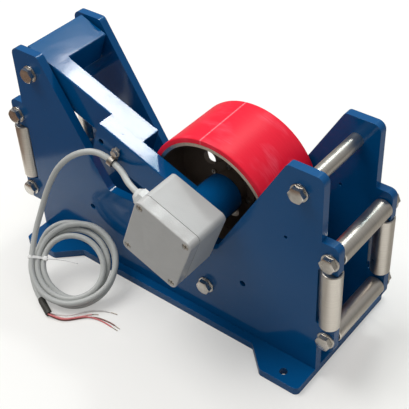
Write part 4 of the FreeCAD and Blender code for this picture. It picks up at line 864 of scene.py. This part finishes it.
fit(plain_mesh(tie), "frame", "tie_white", nylon_white, "cable_tie")


def strip(name, line, wide, thick, flat):
    """A flat strip along a line; flat is the direction of its width."""
    verts, faces = [], []
    for spot, before, after in zip(line, [line[0]] + line[:-1], line[1:] + [line[-1]]):
        ahead = (after - before).normalized()
        side = (flat - ahead * flat.dot(ahead)).normalized()
        top = ahead.cross(side)
        for u, v in ((-1, -1), (1, -1), (1, 1), (-1, 1)):
            verts.append(spot + side * (u * wide / 2) + top * (v * thick / 2))
    for i in range(len(line) - 1):
        for s in range(4):
            t = (s + 1) % 4
            faces.append((4 * i + s, 4 * i + t, 4 * i + 4 + t, 4 * i + 4 + s))
    faces.append((3, 2, 1, 0))
    end = 4 * len(line) - 4
    faces.append((end, end + 1, end + 2, end + 3))
    return outward(new_piece(name, verts, faces))


head_radius, head_height, head_deep = 32.2, 2.5, 0.0022
head_wide, head_thick = 0.0052, 0.0048
tail_long, tail_drop, tail_steps = 0.040, 0.007, 14
tail_wide, tail_thick = 0.0036, 0.0010
head_at = coil_spot(head_radius, tie_turn, head_height)
inward = (coil_spot(20, tie_turn, head_height) - head_at).normalized()
sideways = (coil_spot(head_radius, tie_turn + 6, head_height) - head_at).normalized()
tail_ahead = Vector((0.905, 0.375, 0.20))
tail_line = [head_at + inward * 0.001 + tail_ahead * (tail_long * k / tail_steps)
             - Vector((0, 0, tail_drop)) * (k / tail_steps) ** 2 for k in range(tail_steps + 1)]
tie_tail = strip("tie_tail", tail_line, tail_wide, tail_thick, Vector((0.1, -0.55, 0.8)))
fit(plain_mesh(tie_tail), "frame", "tie_white", nylon_white)
tie_head = strip("tie_head", [head_at - inward * head_deep, head_at, head_at + inward * head_deep],
                 head_wide, head_thick, sideways)
soften = tie_head.modifiers.new("Soft edges", "BEVEL")
soften.width = 0.0005
soften.segments = 2
fit(plain_mesh(tie_head), "frame", "tie_white", nylon_white)


# ---- Floor, light and camera
# A pale bench top whose reflections are painted dark past a line to the left, a soft sky that is darker
# low down, a wide lamp overhead and narrow panels high behind; none of them is part of the counter.

bench, tree, shader = new_finish("Pale bench", Roughness=0.9, Specular_IOR_Level=0.1)
seen = put(tree, "ShaderNodeLightPath").outputs
in_camera = seen["Is Camera Ray"]
shown = maths(tree, "MAXIMUM", maths(tree, "MAXIMUM", in_camera, seen["Is Glossy Ray"]),
              seen["Is Transmission Ray"])
bench_place = put(tree, "ShaderNodeTexCoord").outputs["Object"]
shade = mixed(tree, clouds(tree, bench_place, 1.5), (0.61, 0.61, 0.60, 1), (0.63, 0.63, 0.62, 1))

# What the bench shows in gloss is painted reflection: a painted pool of light in front of the counter,
# painted shade round it and behind, and painted darkness past a line to the left, where the bench goes
# on.
# Painted light: a pale pool on the bench, seen only in reflections.
painted_light_pool = put(tree, "ShaderNodeVectorMath", {
    0: scaled(tree, bench_place, (0.45, 1.0, 0.0)), 1: (-0.1125, -0.02, 0.0)}, operation="DISTANCE")
fading = ranged(tree, painted_light_pool.outputs["Value"], 0.06, 0.28, interpolation_type="SMOOTHSTEP")
sides = put(tree, "ShaderNodeSeparateXYZ", {0: bench_place}).outputs
right_end = ranged(tree, sides[0], 0.12, 0.30, 1.0, 0.25, interpolation_type="SMOOTHSTEP")
behind = ranged(tree, sides[1], -0.02, 0.10, interpolation_type="SMOOTHSTEP")
painted_shade_share = maths(tree, "MULTIPLY", fading, maths(tree, "MAXIMUM", right_end, behind))
painted_reflection = mixed(tree, painted_shade_share, (0.97, 0.96, 0.93, 1), (0.36, 0.345, 0.32, 1))
to_left = put(tree, "ShaderNodeVectorMath", {0: bench_place, 1: (-0.768, -0.640, 0.0)},
              operation="DOT_PRODUCT").outputs["Value"]
# Painted reflection: past this line to the left the bench is dark only in gloss.
painted_reflection = mixed(tree, ranged(tree, to_left, 0.342, 0.350), painted_reflection, (0.18, 0.12, 0.09, 1))
not_lit = mixed(tree, in_camera, painted_reflection, shade)
tree.links.new(mixed(tree, shown, (0.46, 0.46, 0.45, 1), not_lit), shader.inputs["Base Color"])
tree.links.new(maths(tree, "MULTIPLY", in_camera, 0.33), shader.inputs["Emission Strength"])
shader.inputs["Emission Color"].default_value = (1.0, 0.985, 0.95, 1)
half = 15
top = new_piece("bench_top", [(-half, -half, 0), (half, -half, 0), (half, half, 0),
                              (-half, half, 0)], [(0, 1, 2, 3)])
top.data.materials.append(bench)

sky = bpy.data.worlds.new("Soft sky")
bpy.context.scene.world = sky
sky.use_nodes = True
tree = sky.node_tree
way = put(tree, "ShaderNodeVectorMath", {
    0: put(tree, "ShaderNodeTexCoord").outputs["Generated"], 1: (0.0, 0.34, 0.94)},
    operation="DOT_PRODUCT").outputs["Value"]
backdrop = put(tree, "ShaderNodeLightPath").outputs
strength = put(tree, "ShaderNodeMix", {0: backdrop["Is Glossy Ray"],
                                       2: ranged(tree, way, -0.2, 0.9, 0.12, 0.74),
                                       3: ranged(tree, way, 0.0, 1.0, 0.07, 0.45)})
white_behind = put(tree, "ShaderNodeMix", {0: backdrop["Is Camera Ray"], 2: strength.outputs[0],
                                           3: 1.0})
tree.links.new(white_behind.outputs[0], tree.nodes["Background"].inputs["Strength"])
tree.nodes["Background"].inputs["Color"].default_value = (1, 1, 1, 1)


def standing(side, other, out, place):
    """The matrix that turns an object's x, y and z to three directions and puts it in place."""
    return Matrix([(*axes, 0.0) for axes in (side, other, out)] + [(*place, 1.0)]).transposed()


def lamp(name, aim, way, distance, wide, deep, power, colour, level=(1, 0, 0)):
    """A flat lamp that faces the aim point; level is the direction of its longer side."""
    light = bpy.data.lights.new(name, "AREA")
    light.shape = "RECTANGLE"
    light.size = wide
    light.size_y = deep
    light.energy = power
    light.color = colour
    holder = bpy.data.objects.new(name, light)
    bpy.context.scene.collection.objects.link(holder)
    out = Vector(way).normalized()
    side = Vector(level)
    side = (side - out * side.dot(out)).normalized()
    holder.matrix_world = standing(side, out.cross(side), out, Vector(aim) + out * distance)


HIGH_BEHIND = (-0.069, 0.545, 0.84)
ALONG_BARS = (0.98, 0.15, -0.16)
lamp("panel", aim=(-0.103, -0.012, 0.168), way=HIGH_BEHIND, distance=2.4, wide=0.43, deep=0.2,
     power=8.6, colour=(1.0, 0.985, 0.95), level=ALONG_BARS)
lamp("panel end", aim=(0.196, 0.034, 0.120), way=HIGH_BEHIND, distance=2.4, wide=0.18, deep=0.2,
     power=1.2, colour=(0.62, 0.9, 1.0), level=ALONG_BARS)
lamp("soft panel", aim=(-0.35, 0.15, 0.10), way=HIGH_BEHIND, distance=2.5, wide=1.3, deep=0.8,
     power=2.6, colour=(0.5, 0.92, 1.0), level=ALONG_BARS)
lamp("ceiling", aim=(0, 0, 0.15), way=(-0.42, -0.14, 0.9), distance=2.6, wide=1.5, deep=1.5,
     power=38, colour=(1.0, 0.985, 0.96))

lens = bpy.data.cameras.new("camera")
lens.sensor_width = 36
lens.lens = 82.2457
camera = bpy.data.objects.new("camera", lens)
bpy.context.scene.collection.objects.link(camera)
camera.matrix_world = standing(
    side=(0.7838859, 0.6193679, -0.0436610), other=(-0.3743115, 0.5274985, 0.7626508),
    out=(0.4953925, -0.5814885, 0.6453351), place=(0.54293, -0.617744, 0.796529))
bpy.context.scene.camera = camera
bpy.context.scene.view_settings.view_transform = "Standard"


bpy.context.view_layer.update()
